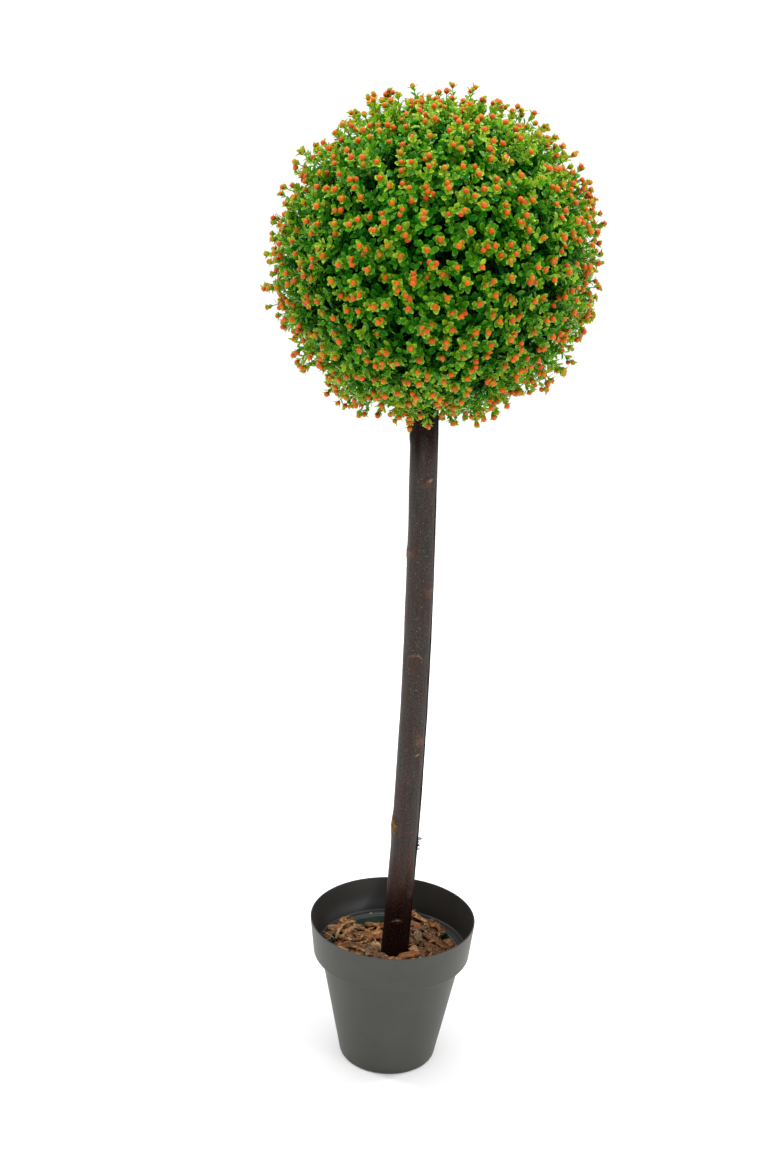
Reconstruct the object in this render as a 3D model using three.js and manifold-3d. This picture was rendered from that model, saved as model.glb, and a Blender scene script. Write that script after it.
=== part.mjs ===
// A standard lollipop topiary, the artificial kind: one ball of moulded boxwood sprigs on a bare wooden stem.
// The stem is set in a bed of bark chips, in a green liner pot that sits inside a grey collared pot.
// Millimetres, +Z up. The origin is the middle of the pot's flat underside, and the front faces -Y.
import * as THREE from "three";
import { mergeVertices } from "three/addons/utils/BufferGeometryUtils.js";
import Module from "manifold-3d";

const wasm = await Module();
wasm.setup();

const fitGap = 0.4; // between any two pieces that touch

// The grey pot: a tapered body under a wider collar.
const pot = {
  height: 191,
  rimRadius: 105,
  collarDepth: 47.5,
  collarFootRadius: 99.6,
  shoulderRadius: 90.4, // the body, where it meets the collar
  footRadius: 61.6,
  wall: 2.2,
  edge: 1, // rounding of rim, collar foot and inner ledge
  footEdge: 2.4, // rounding round the underside
  sides: 48,
};
const collarFoot = pot.height - pot.collarDepth;

// The green liner pot stands on the grey pot's floor.
const liner = {
  foot: pot.wall + fitGap,
  height: 139,
  wallClearance: 2.8, // to the grey pot's body
  wall: 1.4,
  lip: 1.5, // how far the rolled lip stands out, with its height
  sides: 40,
};

// The bark chips and the set filling under them, as one solid.
const bed = {
  level: 143, // mean height of the chips round the stem
  mound: 8, // how far the chips pile up at the back left
  dip: 7, // how far they sink at the front left, where the liner shows
  roughness: 2.2,
  rings: 6,
  sides: 36,
};

// The stem: a peeled wooden pole that leans and bows a little to the right.
const stem = {
  foot: 70, // its flat cut, set in the bed
  top: 1000, // inside the ball
  footDiameter: 35,
  topDiameter: 31.4,
  bowHeight: 570, // where it stands furthest to the right
  bowOffset: 14.8,
  bowSagitta: 5.6e-5, // fall-off of that offset with height squared, per mm
  depthBow: 3, // the same pole's slight bow towards the back
  sides: 14,
  ringSpacing: 24,
};

// Branch stubs cut flush leave low swellings: height, angle round the stem from +X, and how far they stand out.
const knots = [
  [183, -95, 0.9],
  [321, 188, 1.8],
  [433, -55, 1.0],
  [543, -92, 1.5],
  [626, -50, 1.1],
  [672, 186, 1.3],
  [758, -62, 1.2],
  [815, 184, 1.7],
  [380, 75, 1.3],
  [600, 110, 1.2],
  [720, 40, 1.0],
];
const knotReach = 13; // half-length of a swelling along the stem
const knotSpread = 0.5; // and round it, in radians

// The clipped ball of sprigs.
const crown = {
  centre: new THREE.Vector3(13.5, 1, 1012),
  radius: 186.5,
  lump: 3.4, // slow waves where the tufts meet
  tuft: 4.2, // single sprigs that stand proud
  detail: 9,
};

const material = (color, roughness) =>
  new THREE.MeshStandardMaterial({ color, roughness, metalness: 0 });
const materials = {
  potPlastic: material(0x5d5e5b, 0.55),
  linerPlastic: material(0x1d4a3a, 0.45),
  bark: material(0x8a5a3a, 0.9),
  stemWood: material(0x3c302c, 0.7),
  foliage: material(0x3f8a24, 0.5),
};

const lerp = THREE.MathUtils.lerp;
const radians = THREE.MathUtils.degToRad;

// Turns a closed profile of [radius, height] pairs about +Z. The pairs run anticlockwise, outside first.
function turned(profile, sides) {
  const points = profile.map(([radius, height]) => new THREE.Vector2(radius, height));
  return new THREE.LatheGeometry(points, sides).rotateX(Math.PI / 2);
}

// A solid for booleans, from any closed geometry.
function solidOf(geometry) {
  const bare = geometry.clone();
  bare.deleteAttribute("normal");
  bare.deleteAttribute("uv");
  const merged = mergeVertices(bare, 1e-3);
  return new wasm.Manifold(
    new wasm.Mesh({
      numProp: 3,
      vertProperties: new Float32Array(merged.attributes.position.array),
      triVerts: new Uint32Array(merged.index.array),
    }),
  );
}

function geometryOf(solid) {
  const mesh = solid.getMesh();
  const geometry = new THREE.BufferGeometry();
  geometry.setAttribute("position", new THREE.BufferAttribute(mesh.vertProperties, 3));
  geometry.setIndex(new THREE.BufferAttribute(mesh.triVerts, 1));
  geometry.computeVertexNormals();
  return geometry;
}

function named(name, geometry, itsMaterial) {
  const mesh = new THREE.Mesh(geometry, itsMaterial);
  mesh.name = name;
  return mesh;
}

// Outer radius of the grey pot's body at a height below the collar.
const bodyRadius = (height) =>
  lerp(pot.footRadius, pot.shoulderRadius, (height - pot.footEdge) / (collarFoot - pot.footEdge));

function potGeometry() {
  const { height, rimRadius, collarFootRadius, footRadius, shoulderRadius, wall, edge, footEdge } = pot;
  const ledge = collarFoot + wall; // the collar's inner step
  return turned(
    [
      [0, 0],
      [footRadius - footEdge, 0],
      [footRadius - footEdge * 0.3, footEdge * 0.3],
      [footRadius, footEdge],
      [shoulderRadius, collarFoot],
      [collarFootRadius - edge, collarFoot],
      [collarFootRadius, collarFoot + edge],
      [rimRadius, height - edge],
      [rimRadius - edge * 0.7, height],
      [rimRadius - wall + edge * 0.4, height],
      [rimRadius - wall, height - edge],
      [collarFootRadius - wall, ledge + edge],
      [collarFootRadius - wall - edge, ledge],
      [shoulderRadius - wall + edge, ledge],
      [shoulderRadius - wall, ledge - edge],
      [footRadius - wall, wall + edge],
      [footRadius - wall - edge, wall],
      [0, wall],
    ],
    pot.sides,
  );
}

// Outer and inner radius of the liner's wall at a height.
const linerOutside = (height) => bodyRadius(height) - pot.wall - liner.wallClearance;
const linerInside = (height) => linerOutside(height) - liner.wall;

function linerGeometry() {
  const { foot, height, wall, lip } = liner;
  const top = foot + height;
  const lipRadius = linerOutside(top) + lip;
  return turned(
    [
      [0, foot],
      [linerOutside(foot) - wall, foot],
      [linerOutside(foot + wall), foot + wall],
      [linerOutside(top - lip * 2), top - lip * 2],
      [lipRadius, top - lip * 1.6],
      [lipRadius, top - lip * 0.4],
      [lipRadius - lip * 0.6, top],
      [linerInside(top), top],
      [linerInside(foot + wall * 2), foot + wall * 2],
      [linerInside(foot + wall) - wall, foot + wall],
      [0, foot + wall],
    ],
    liner.sides,
  );
}

// Height of the chips at a place: a level bed, piled at the back left, sunk at the front left, uneven all over.
function chipsAt(x, y) {
  const hump = (cx, cy, reach) => Math.exp(-((x - cx) ** 2 + (y - cy) ** 2) / reach ** 2);
  const waves = Math.sin(x / 9 + 1.3) * Math.cos(y / 8) + Math.sin((x + y) / 13);
  return (
    bed.level + bed.mound * hump(-46, 44, 34) - bed.dip * hump(-66, -26, 24) + (bed.roughness * waves) / 2
  );
}

function bedGeometry() {
  const floor = liner.foot + liner.wall + fitGap;
  const rim = bed.level - bed.roughness;
  const side = (height) => linerInside(height) - fitGap * 1.5;
  const profile = [
    [0, floor],
    [side(floor) - liner.wall * 3, floor],
    [side(floor + liner.wall * 3), floor + liner.wall * 3],
    [side(rim - 14), rim - 14],
  ];
  for (let ring = bed.rings; ring >= 0; ring -= 1) {
    profile.push([(side(rim - 14) * ring) / bed.rings, rim]);
  }
  const geometry = turned(profile, bed.sides);
  const place = geometry.attributes.position;
  for (let i = 0; i < place.count; i += 1) {
    if (place.getZ(i) > rim - 1) {
      const radius = Math.hypot(place.getX(i), place.getY(i));
      const edgeDrop = 5 * THREE.MathUtils.smoothstep(radius, side(rim) * 0.86, side(rim));
      place.setZ(i, chipsAt(place.getX(i), place.getY(i)) - edgeDrop);
    }
  }
  return geometry;
}

// The stem's centre line.
const stemCentre = (height) => {
  const away = height - stem.bowHeight;
  const along = (height - stem.foot) / (stem.top - stem.foot);
  return new THREE.Vector3(
    stem.bowOffset - stem.bowSagitta * away * away,
    stem.depthBow * Math.sin(Math.PI * along),
    height,
  );
};

// The stem's radius at a height and an angle, with its knots.
function stemRadius(height, angle) {
  const along = (height - stem.foot) / (stem.top - stem.foot);
  let radius = lerp(stem.footDiameter, stem.topDiameter, along) / 2;
  for (const [knotHeight, knotAngle, proud] of knots) {
    const turn = Math.atan2(Math.sin(angle - radians(knotAngle)), Math.cos(angle - radians(knotAngle)));
    radius += proud * Math.exp(-(((height - knotHeight) / knotReach) ** 2) - (turn / knotSpread) ** 2);
  }
  return radius;
}

// The stem's solid, grown all round by a margin: 0 for the stem itself, the fit gap for its sockets.
function stemGeometry(margin) {
  const foot = stem.foot - margin;
  const top = stem.top + margin;
  const rings = Math.round((top - foot) / stem.ringSpacing);
  const heights = Array.from({ length: rings + 1 }, (_, i) => lerp(foot, top, i / rings));
  for (const [knotHeight] of knots) {
    heights.push(knotHeight);
  }
  heights.sort((a, b) => a - b);
  const points = [];
  for (const height of heights) {
    const centre = stemCentre(height);
    for (let side = 0; side < stem.sides; side += 1) {
      const angle = (2 * Math.PI * side) / stem.sides;
      const radius = stemRadius(height, angle) + margin;
      points.push(centre.x + radius * Math.cos(angle), centre.y + radius * Math.sin(angle), height);
    }
  }
  const faces = [];
  for (let ring = 0; ring + 1 < heights.length; ring += 1) {
    for (let side = 0; side < stem.sides; side += 1) {
      const next = (side + 1) % stem.sides;
      const low = ring * stem.sides;
      const high = low + stem.sides;
      faces.push(low + side, low + next, high + next, low + side, high + next, high + side);
    }
  }
  const last = (heights.length - 1) * stem.sides;
  for (let side = 1; side + 1 < stem.sides; side += 1) {
    faces.push(0, side + 1, side, last, last + side, last + side + 1);
  }
  const geometry = new THREE.BufferGeometry();
  geometry.setAttribute("position", new THREE.Float32BufferAttribute(points, 3));
  geometry.setIndex(faces);
  geometry.computeVertexNormals();
  return geometry;
}

// How far the ball's surface stands out in a direction, from -1 to 1, as slow waves and as single sprigs.
const lumps = ({ x, y, z }) =>
  (Math.sin(5.1 * x + 1.7) * Math.cos(4.3 * y) + Math.sin(6.2 * z + 2.3 * x) + Math.cos(5.7 * y - 3.1 * z)) / 3;
function tufts({ x, y, z }) {
  const dice = Math.sin(x * 127.1 + y * 311.7 + z * 74.7) * 43758.5453;
  return 2 * (dice - Math.floor(dice)) - 1;
}

function crownGeometry() {
  const ball = new THREE.IcosahedronGeometry(1, crown.detail);
  ball.deleteAttribute("normal");
  ball.deleteAttribute("uv");
  const geometry = mergeVertices(ball, 1e-4);
  const place = geometry.attributes.position;
  const way = new THREE.Vector3();
  for (let i = 0; i < place.count; i += 1) {
    way.fromBufferAttribute(place, i).normalize();
    const radius = crown.radius + crown.lump * lumps(way) + crown.tuft * tufts(way);
    way.multiplyScalar(radius).add(crown.centre);
    place.setXYZ(i, way.x, way.y, way.z);
  }
  return geometry;
}

const socket = solidOf(stemGeometry(fitGap));
const cutRoundStem = (geometry) => geometryOf(solidOf(geometry).subtract(socket));

const topiary = new THREE.Group();
topiary.name = "lollipop_topiary";
topiary.add(
  named("pot", potGeometry(), materials.potPlastic),
  named("liner_pot", linerGeometry(), materials.linerPlastic),
  named("bark_bed", cutRoundStem(bedGeometry()), materials.bark),
  named("stem", stemGeometry(0), materials.stemWood),
  named("crown", cutRoundStem(crownGeometry()), materials.foliage),
);

export default topiary;
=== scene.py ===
"""Looks of an artificial lollipop topiary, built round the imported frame.

A ball of moulded sprigs with orange berries stands on a wooden pole. The pole is set in bark chips, inside
a dark green liner, and the liner stands in a matte grey collared pot. Lengths are metres unless a name
ends in _mm; +Z is up and -Y is the front.
"""

import itertools
import logging
import math
from dataclasses import dataclass, field
from enum import Enum

import bpy
import numpy as np
from mathutils import Matrix, Vector


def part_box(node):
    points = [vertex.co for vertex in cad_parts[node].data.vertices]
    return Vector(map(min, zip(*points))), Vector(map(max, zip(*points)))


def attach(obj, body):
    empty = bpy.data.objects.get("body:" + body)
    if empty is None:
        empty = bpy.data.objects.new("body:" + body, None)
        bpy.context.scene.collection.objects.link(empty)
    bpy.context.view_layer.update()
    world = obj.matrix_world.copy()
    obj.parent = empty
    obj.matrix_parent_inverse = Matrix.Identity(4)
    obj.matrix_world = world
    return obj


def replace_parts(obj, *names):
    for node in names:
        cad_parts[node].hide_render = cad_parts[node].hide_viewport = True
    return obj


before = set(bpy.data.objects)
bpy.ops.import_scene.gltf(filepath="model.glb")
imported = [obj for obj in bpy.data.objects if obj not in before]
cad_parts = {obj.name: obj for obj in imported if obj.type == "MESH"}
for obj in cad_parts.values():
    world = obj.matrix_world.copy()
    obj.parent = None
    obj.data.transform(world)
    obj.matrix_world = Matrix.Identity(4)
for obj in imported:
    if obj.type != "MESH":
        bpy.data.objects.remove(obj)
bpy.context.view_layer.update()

log = logging.getLogger("topiary")
Array = np.ndarray
Tree, Node, Socket = bpy.types.NodeTree, bpy.types.Node, bpy.types.NodeSocket

MM = 0.001
BODY = "root"
PIECE_LIMIT = 190_000  # triangles in one piece
HASH_STEPS = np.array([374761393, 668265263, 1440670441])  # odd numbers that tell lattice corners apart
HASH_SEED = 69069
HASH_MIX = 1274126177
RANGE = ("Value", "From Min", "From Max", "To Min", "To Max")  # a MapRange node's sockets


# ---- arrays


def unit(vectors: Array) -> Array:
    """Vectors over their lengths, along the last axis."""
    return vectors / np.maximum(np.linalg.norm(vectors, axis=-1, keepdims=True), 1e-12)


def smoothstep(low: float, high: float, value: Array) -> Array:
    """0 below low, 1 above high, and 3t^2 - 2t^3 between them; low may be the larger of the two."""
    t = np.clip((value - low) / (high - low), 0.0, 1.0)
    return t * t * (3.0 - 2.0 * t)


def side_axes(axes: Array) -> tuple[Array, Array]:
    """Two unit vectors square to each axis and to each other.

    Args:
        axes: unit vectors, shape (..., 3).
    Returns:
        The first and second side axis, each of the same shape.
    """
    helper = np.where(np.abs(axes[..., 2:3]) < 0.9, [0.0, 0.0, 1.0], [1.0, 0.0, 0.0])
    first = unit(np.cross(helper, axes))
    return first, np.cross(axes, first)


def value_noise(points: Array, seed: int) -> Array:
    """Smooth random values from -1 to 1: one hashed at each corner of a unit lattice, eased between them.

    Args:
        points: positions in lattice units, shape (..., 3).
        seed: picks another set of corner values.
    Returns:
        One value per point.
    """
    cell = np.floor(points).astype(np.int64)
    part = points - cell
    ease = part**3 * (part * (part * 6.0 - 15.0) + 10.0)
    total = np.zeros(points.shape[:-1])
    for corner in itertools.product((0, 1), repeat=3):
        code = (cell + corner) @ HASH_STEPS + seed * HASH_SEED
        code = ((code ^ (code >> 13)) * HASH_MIX) & 0xFFFFFFFF
        value = ((code ^ (code >> 16)) & 0xFFFF) / 32767.5 - 1.0
        weight = np.prod(np.where(np.array(corner) == 1, ease, 1.0 - ease), axis=-1)
        total += weight * value
    return total


def fractal(points: Array, octaves: int, seed: int) -> Array:
    """Sum of value noises, each half as strong and twice as fine as the one before."""
    layers = [value_noise(points * 2.0**k, seed + 31 * k) * 0.5**k for k in range(octaves)]
    return np.sum(layers, axis=0)


def stacked(*parts: Array) -> Array:
    """Arrays broadcast against each other and stacked on a new last axis."""
    return np.stack(np.broadcast_arrays(*parts), -1)


def spokes(axes: Array, turn: Array) -> Array:
    """Unit directions square to each axis and turned round it: first cos(turn) + second sin(turn)."""
    first, second = side_axes(axes)
    return first * np.cos(turn)[..., None] + second * np.sin(turn)[..., None]


def round_angles(sides: int) -> Array:
    """Evenly spaced angles round a circle, from 0."""
    return np.arange(sides) * 2.0 * np.pi / sides


def latitudes(rows: int) -> Array:
    """Evenly spaced angles from pole to pole as a column, without the poles."""
    return np.linspace(-np.pi / 2.0, np.pi / 2.0, rows + 2)[1:-1, None]


def signed_power(value: Array, exponent: float) -> Array:
    """Size of each value raised to a power, with the value's sign kept."""
    return np.sign(value) * np.abs(value) ** exponent


def dealt(counts: Array) -> tuple[Array, Array]:
    """Parents and ranks of children that come in runs, one run for each parent.

    Args:
        counts: how many children each parent has.
    Returns:
        Each child's parent, and its rank from 0 among that parent's children.
    """
    parent = np.repeat(np.arange(len(counts)), counts)
    return parent, np.arange(len(parent)) - np.repeat(np.cumsum(counts) - counts, counts)


# ---- surfaces


def placed(name: str, data: bpy.types.ID) -> bpy.types.Object:
    """A new object in the scene.

    Args:
        name: its name.
        data: what it holds.
    Returns:
        The object.
    """
    thing = bpy.data.objects.new(name, data)
    bpy.context.scene.collection.objects.link(thing)
    return thing


@dataclass
class Surface:
    """A triangle surface as arrays.

    Attributes:
        points: positions, shape (n, 3).
        triangles: corner indices, anticlockwise from outside, shape (m, 3).
        corner_uv: texture place of each corner in metres or shares, shape (m, 3, 2), or None.
        masks: named values from 0 to 1, one per point.
    """

    points: Array
    triangles: Array
    corner_uv: Array | None = None
    masks: dict[str, Array] = field(default_factory=dict)

    def piece(self, name: str, finish: "Finish", slot: str, crease_deg: float = 180.0) -> bpy.types.Object:
        """Puts the surface into the scene as a piece that rides on the one body.

        Args:
            name: the piece's name.
            finish: what it is made of.
            slot: the record's material slot that it belongs to; not used.
            crease_deg: edges that turn by more than this stay sharp.
        Returns:
            The new object, at the origin.
        """
        count = len(self.triangles)
        mesh = bpy.data.meshes.new(name)
        mesh.vertices.add(len(self.points))
        mesh.vertices.foreach_set("co", np.ascontiguousarray(self.points, dtype=np.float32).ravel())
        mesh.loops.add(3 * count)
        mesh.loops.foreach_set("vertex_index", self.triangles.astype(np.int32).ravel())
        mesh.polygons.add(count)
        mesh.polygons.foreach_set("loop_start", np.arange(0, 3 * count, 3, dtype=np.int32))
        mesh.polygons.foreach_set("use_smooth", np.full(count, True))
        if self.corner_uv is not None:
            layer = mesh.uv_layers.new(name="UVMap")
            layer.uv.foreach_set("vector", self.corner_uv.astype(np.float32).ravel())
        for mask, values in self.masks.items():
            layer = mesh.attributes.new(mask, "FLOAT", "POINT")
            layer.data.foreach_set("value", values.astype(np.float32).ravel())
        mesh.update(calc_edges=True)
        if crease_deg < 180.0:
            mesh.set_sharp_from_angle(angle=math.radians(crease_deg))
        mesh.materials.append(finish.material())
        piece = placed(name, mesh)
        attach(piece, BODY)
        log.info("%-24s %7d triangles", name, count)
        return piece


def joined(parts: list[Surface]) -> Surface:
    """Several surfaces as one.

    Args:
        parts: surfaces with the same masks; all or none of them have texture places.
    Returns:
        One surface, whose points are the parts' points in order.
    """
    starts = np.cumsum([0] + [len(part.points) for part in parts[:-1]])
    places = [part.corner_uv for part in parts]
    return Surface(
        points=np.concatenate([part.points for part in parts]),
        triangles=np.concatenate([part.triangles + start for part, start in zip(parts, starts)]),
        corner_uv=None if places[0] is None else np.concatenate(places),
        masks={name: np.concatenate([part.masks[name] for part in parts]) for name in parts[0].masks},
    )


def grid_corners(rows: int, columns: int, closed: bool) -> Array:
    """Row and column of each triangle's corners on a grid; columns run anticlockwise and rows run upwards.

    Args:
        rows: how many rows of points.
        columns: how many columns of points.
        closed: True adds the strip from the last column back to the first, as column number `columns`.
    Returns:
        Integers of shape (m, 3, 2). A closed grid's last column number wraps to 0 in grid_index.
    """
    strips = columns if closed else columns - 1
    row, column = np.meshgrid(np.arange(rows - 1), np.arange(strips), indexing="ij")
    row, column = row.ravel(), column.ravel()
    a, b = stacked(row, column), stacked(row, column + 1)
    c, d = stacked(row + 1, column + 1), stacked(row + 1, column)
    return np.concatenate([np.stack([a, b, c], 1), np.stack([a, c, d], 1)])


def grid_index(corners: Array, columns: int) -> Array:
    """Point index of each grid corner, row by row, with the column number wrapped."""
    return corners[..., 0] * columns + corners[..., 1] % columns


def capped(rows: int, columns: int) -> Array:
    """Triangles of a closed grid whose two ends are fans to a foot point and a tip point.

    Args:
        rows: how many rings of points.
        columns: how many points are in a ring.
    Returns:
        Corner indices, shape (m, 3). The foot point and the tip point follow the grid's points.
    """
    here = np.arange(columns)
    after = (here + 1) % columns
    top = (rows - 1) * columns
    foot_fan = stacked(rows * columns, after, here)
    tip_fan = stacked(rows * columns + 1, top + here, top + after)
    return np.concatenate([grid_index(grid_corners(rows, columns, closed=True), columns), foot_fan, tip_fan])


def copies(triangles: Array, points_each: int, count: int) -> Array:
    """The same triangles for each of count shapes whose points follow one another."""
    return (triangles[None] + points_each * np.arange(count)[:, None, None]).reshape(-1, 3)


def turned(profile: Array, sides: int) -> Surface:
    """Surface of revolution: (radius, height) pairs turned about +Z.

    Args:
        profile: shape (n, 2), first and last radius 0, the outside first.
        sides: how many steps round.
    Returns:
        A closed surface with one point at each pole.
    """
    angle = round_angles(sides)
    ring = profile[1:-1]
    points = stacked(ring[:, :1] * np.cos(angle), ring[:, :1] * np.sin(angle), ring[:, 1:]).reshape(-1, 3)
    poles = [[0.0, 0.0, profile[0, 1]], [0.0, 0.0, profile[-1, 1]]]
    return Surface(np.concatenate([points, poles]), capped(len(ring), sides))


def turned_mask(share: Array) -> Array:
    """A share of shape (points of the outline, sides) as one value for each point of the turned surface."""
    return np.append(share[1:-1].ravel(), share[[0, -1], 0])


def rounded(corners: list[tuple[float, float, float]], steps: int = 6) -> Array:
    """A profile with rounded corners: each becomes a quadratic arc that starts and ends r from it.

    Args:
        corners: (radius, height, r) triples in order; r 0 keeps the corner sharp.
        steps: how many short lines an arc has.
    Returns:
        (radius, height) pairs, shape (n, 2).
    """
    place = np.array([corner[:2] for corner in corners])
    t = np.linspace(0.0, 1.0, steps + 1)[:, None]
    out = [place[:1]]
    for k in range(1, len(corners) - 1):
        r = corners[k][2]
        if r == 0.0:
            out.append(place[k : k + 1])
            continue
        start = place[k] + unit(place[k - 1] - place[k]) * r
        end = place[k] + unit(place[k + 1] - place[k]) * r
        out.append((1 - t) ** 2 * start + 2 * t * (1 - t) * place[k] + t**2 * end)
    out.append(place[-1:])
    return np.concatenate(out)


def tubes(paths: Array, radii: Array, sides: int) -> Surface:
    """Round tubes along several paths at once, each end closed to a point.

    Args:
        paths: centre lines, shape (count, steps, 3).
        radii: shape (count, steps).
        sides: how many sides each tube has.
    Returns:
        All the tubes as one surface.
    """
    count, steps, _ = paths.shape
    along = unit(np.gradient(paths, axis=1))
    first, _ = side_axes(unit(paths[:, -1] - paths[:, 0]))
    first = np.broadcast_to(first[:, None], along.shape)
    first = unit(first - along * np.sum(first * along, -1, keepdims=True))
    second = np.cross(along, first)
    angle = round_angles(sides)
    spoke = first[:, :, None] * np.cos(angle)[:, None] + second[:, :, None] * np.sin(angle)[:, None]
    rings = paths[:, :, None] + spoke * radii[:, :, None, None]
    points = np.concatenate([rings.reshape(count, -1, 3), paths[:, :1], paths[:, -1:]], axis=1)
    return Surface(points.reshape(-1, 3), copies(capped(steps, sides), points.shape[1], count))


# ---- finishes


def linear(code: str) -> tuple[float, float, float, float]:
    """A colour written as sRGB hex, as the linear colour that a shader takes."""
    parts = [int(code[k : k + 2], 16) / 255.0 for k in (1, 3, 5)]
    return (*[c / 12.92 if c <= 0.04045 else ((c + 0.055) / 1.055) ** 2.4 for c in parts], 1.0)


def add_node(
    tree: Tree,
    kind: str,
    settings: dict[str, object] | None = None,
    sockets: dict[str | int, object] | None = None,
) -> Node:
    """Adds a node with its settings and its inputs.

    Args:
        tree: where it goes.
        kind: the node's type name after "ShaderNode".
        settings: the node's own properties.
        sockets: each input's value, or the output that is linked to it.
    Returns:
        The new node.
    """
    node = tree.nodes.new(f"ShaderNode{kind}")
    for name, value in (settings or {}).items():
        setattr(node, name, value)
    for key, value in (sockets or {}).items():
        if isinstance(value, Socket):
            tree.links.new(value, node.inputs[key])
        else:
            node.inputs[key].default_value = value
    return node


@dataclass(frozen=True)
class Finish:
    """What a piece is made of. A subclass paints its own nodes."""

    name: str

    def material(self) -> bpy.types.Material:
        """The finish as a material, made once and then used again.

        Returns:
            The material, which has the finish's name.
        """
        found = bpy.data.materials.get(self.name)
        if found is not None:
            return found
        material = bpy.data.materials.new(self.name)
        material.use_nodes = True
        tree = material.node_tree
        self.paint(tree, tree.nodes["Principled BSDF"])
        return material

    def paint(self, tree: Tree, shader: Node) -> None:
        """Adds the finish's nodes round the shader."""
        raise NotImplementedError

    def layered(self, tree: Tree, base: str, layers: list[tuple[Socket, str]]) -> Socket:
        """One colour laid over another, each by its own share.

        Args:
            tree: where the nodes go.
            base: the colour underneath, as hex.
            layers: pairs of a share from 0 to 1 and the colour that it brings in.
        Returns:
            The colour on top.
        """
        colour = linear(base)
        for share, over in layers:
            mix = add_node(tree, "Mix", {"data_type": "RGBA"}, {0: share, 6: colour, 7: linear(over)})
            colour = mix.outputs[2]
        return colour

    def surface(
        self,
        tree: Tree,
        shader: Node,
        colour: Socket,
        relief: tuple[Socket, float, float],
        roughness: float,
        specular: float,
    ) -> None:
        """Connects a colour and a relief to the shader and sets its even values on its own sockets.

        Args:
            tree: where the nodes are.
            shader: the principled shader.
            colour: base colour.
            relief: height, bump strength and the depth in metres of a height of 1.
            roughness: 0 is a mirror.
            specular: strength of the reflection at its surface, 0.5 being that of a clean plastic.
        """
        tree.links.new(colour, shader.inputs["Base Color"])
        shader.inputs["Roughness"].default_value = roughness
        shader.inputs["Specular IOR Level"].default_value = specular
        shader.inputs["IOR"].default_value = 1.5
        height, strength, depth = relief
        bump = add_node(tree, "Bump", sockets={"Height": height, "Strength": strength, "Distance": depth})
        tree.links.new(bump.outputs["Normal"], shader.inputs["Normal"])


@dataclass(frozen=True)
class MouldedPolypropylene(Finish):
    """Injection-moulded polypropylene: a dull, faintly etched skin, clouded by flow marks and handling.

    Two masks say where painted shade and a painted sheen lie on it.
    """

    colour: str
    worn_colour: str
    roughness: float
    specular: float = 0.4
    grain_mm: float = 0.9  # the mould's etching is finer than this, and drawn coarse so that it shows
    cloud_mm: float = 45.0
    grain_depth: float = 0.05

    def paint(self, tree: Tree, shader: Node) -> None:
        """Colour drifts from fresh to worn in soft clouds; bump is the etching.

        Args:
            tree: where the nodes go.
            shader: the principled shader.
        """
        place = add_node(tree, "TexCoord").outputs["Object"]
        large = {"Vector": place, "Scale": 1000.0 / self.cloud_mm, "Detail": 5.0, "Roughness": 0.6}
        cloud = add_node(tree, "TexNoise", sockets=large).outputs["Fac"]
        small = {"Vector": place, "Scale": 1000.0 / self.grain_mm, "Detail": 2.0}
        grain = add_node(tree, "TexNoise", sockets=small).outputs["Fac"]
        worn = add_node(tree, "MapRange", sockets={"Value": cloud, "From Min": 0.35, "From Max": 0.75})
        # masks of painted shade and of painted sheen, laid over the clouded colour
        soiled = add_node(tree, "Attribute", {"attribute_name": "soiled"}).outputs["Fac"]
        hazed = add_node(tree, "Attribute", {"attribute_name": "hazed"}).outputs["Fac"]
        layers = [(worn.outputs["Result"], self.worn_colour), (hazed, PAINTED_SHEEN_COLOUR), (soiled, PAINTED_SHADE_COLOUR)]
        colour = self.layered(tree, self.colour, layers)
        relief = (grain, self.grain_depth, 0.3 * MM)
        self.surface(tree, shader, colour, relief, self.roughness, self.specular)
        spread = {"To Min": self.roughness - 0.07, "To Max": self.roughness + 0.07}
        dull = add_node(tree, "MapRange", sockets={"Value": cloud, **spread})
        tree.links.new(dull.outputs["Result"], shader.inputs["Roughness"])


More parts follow.
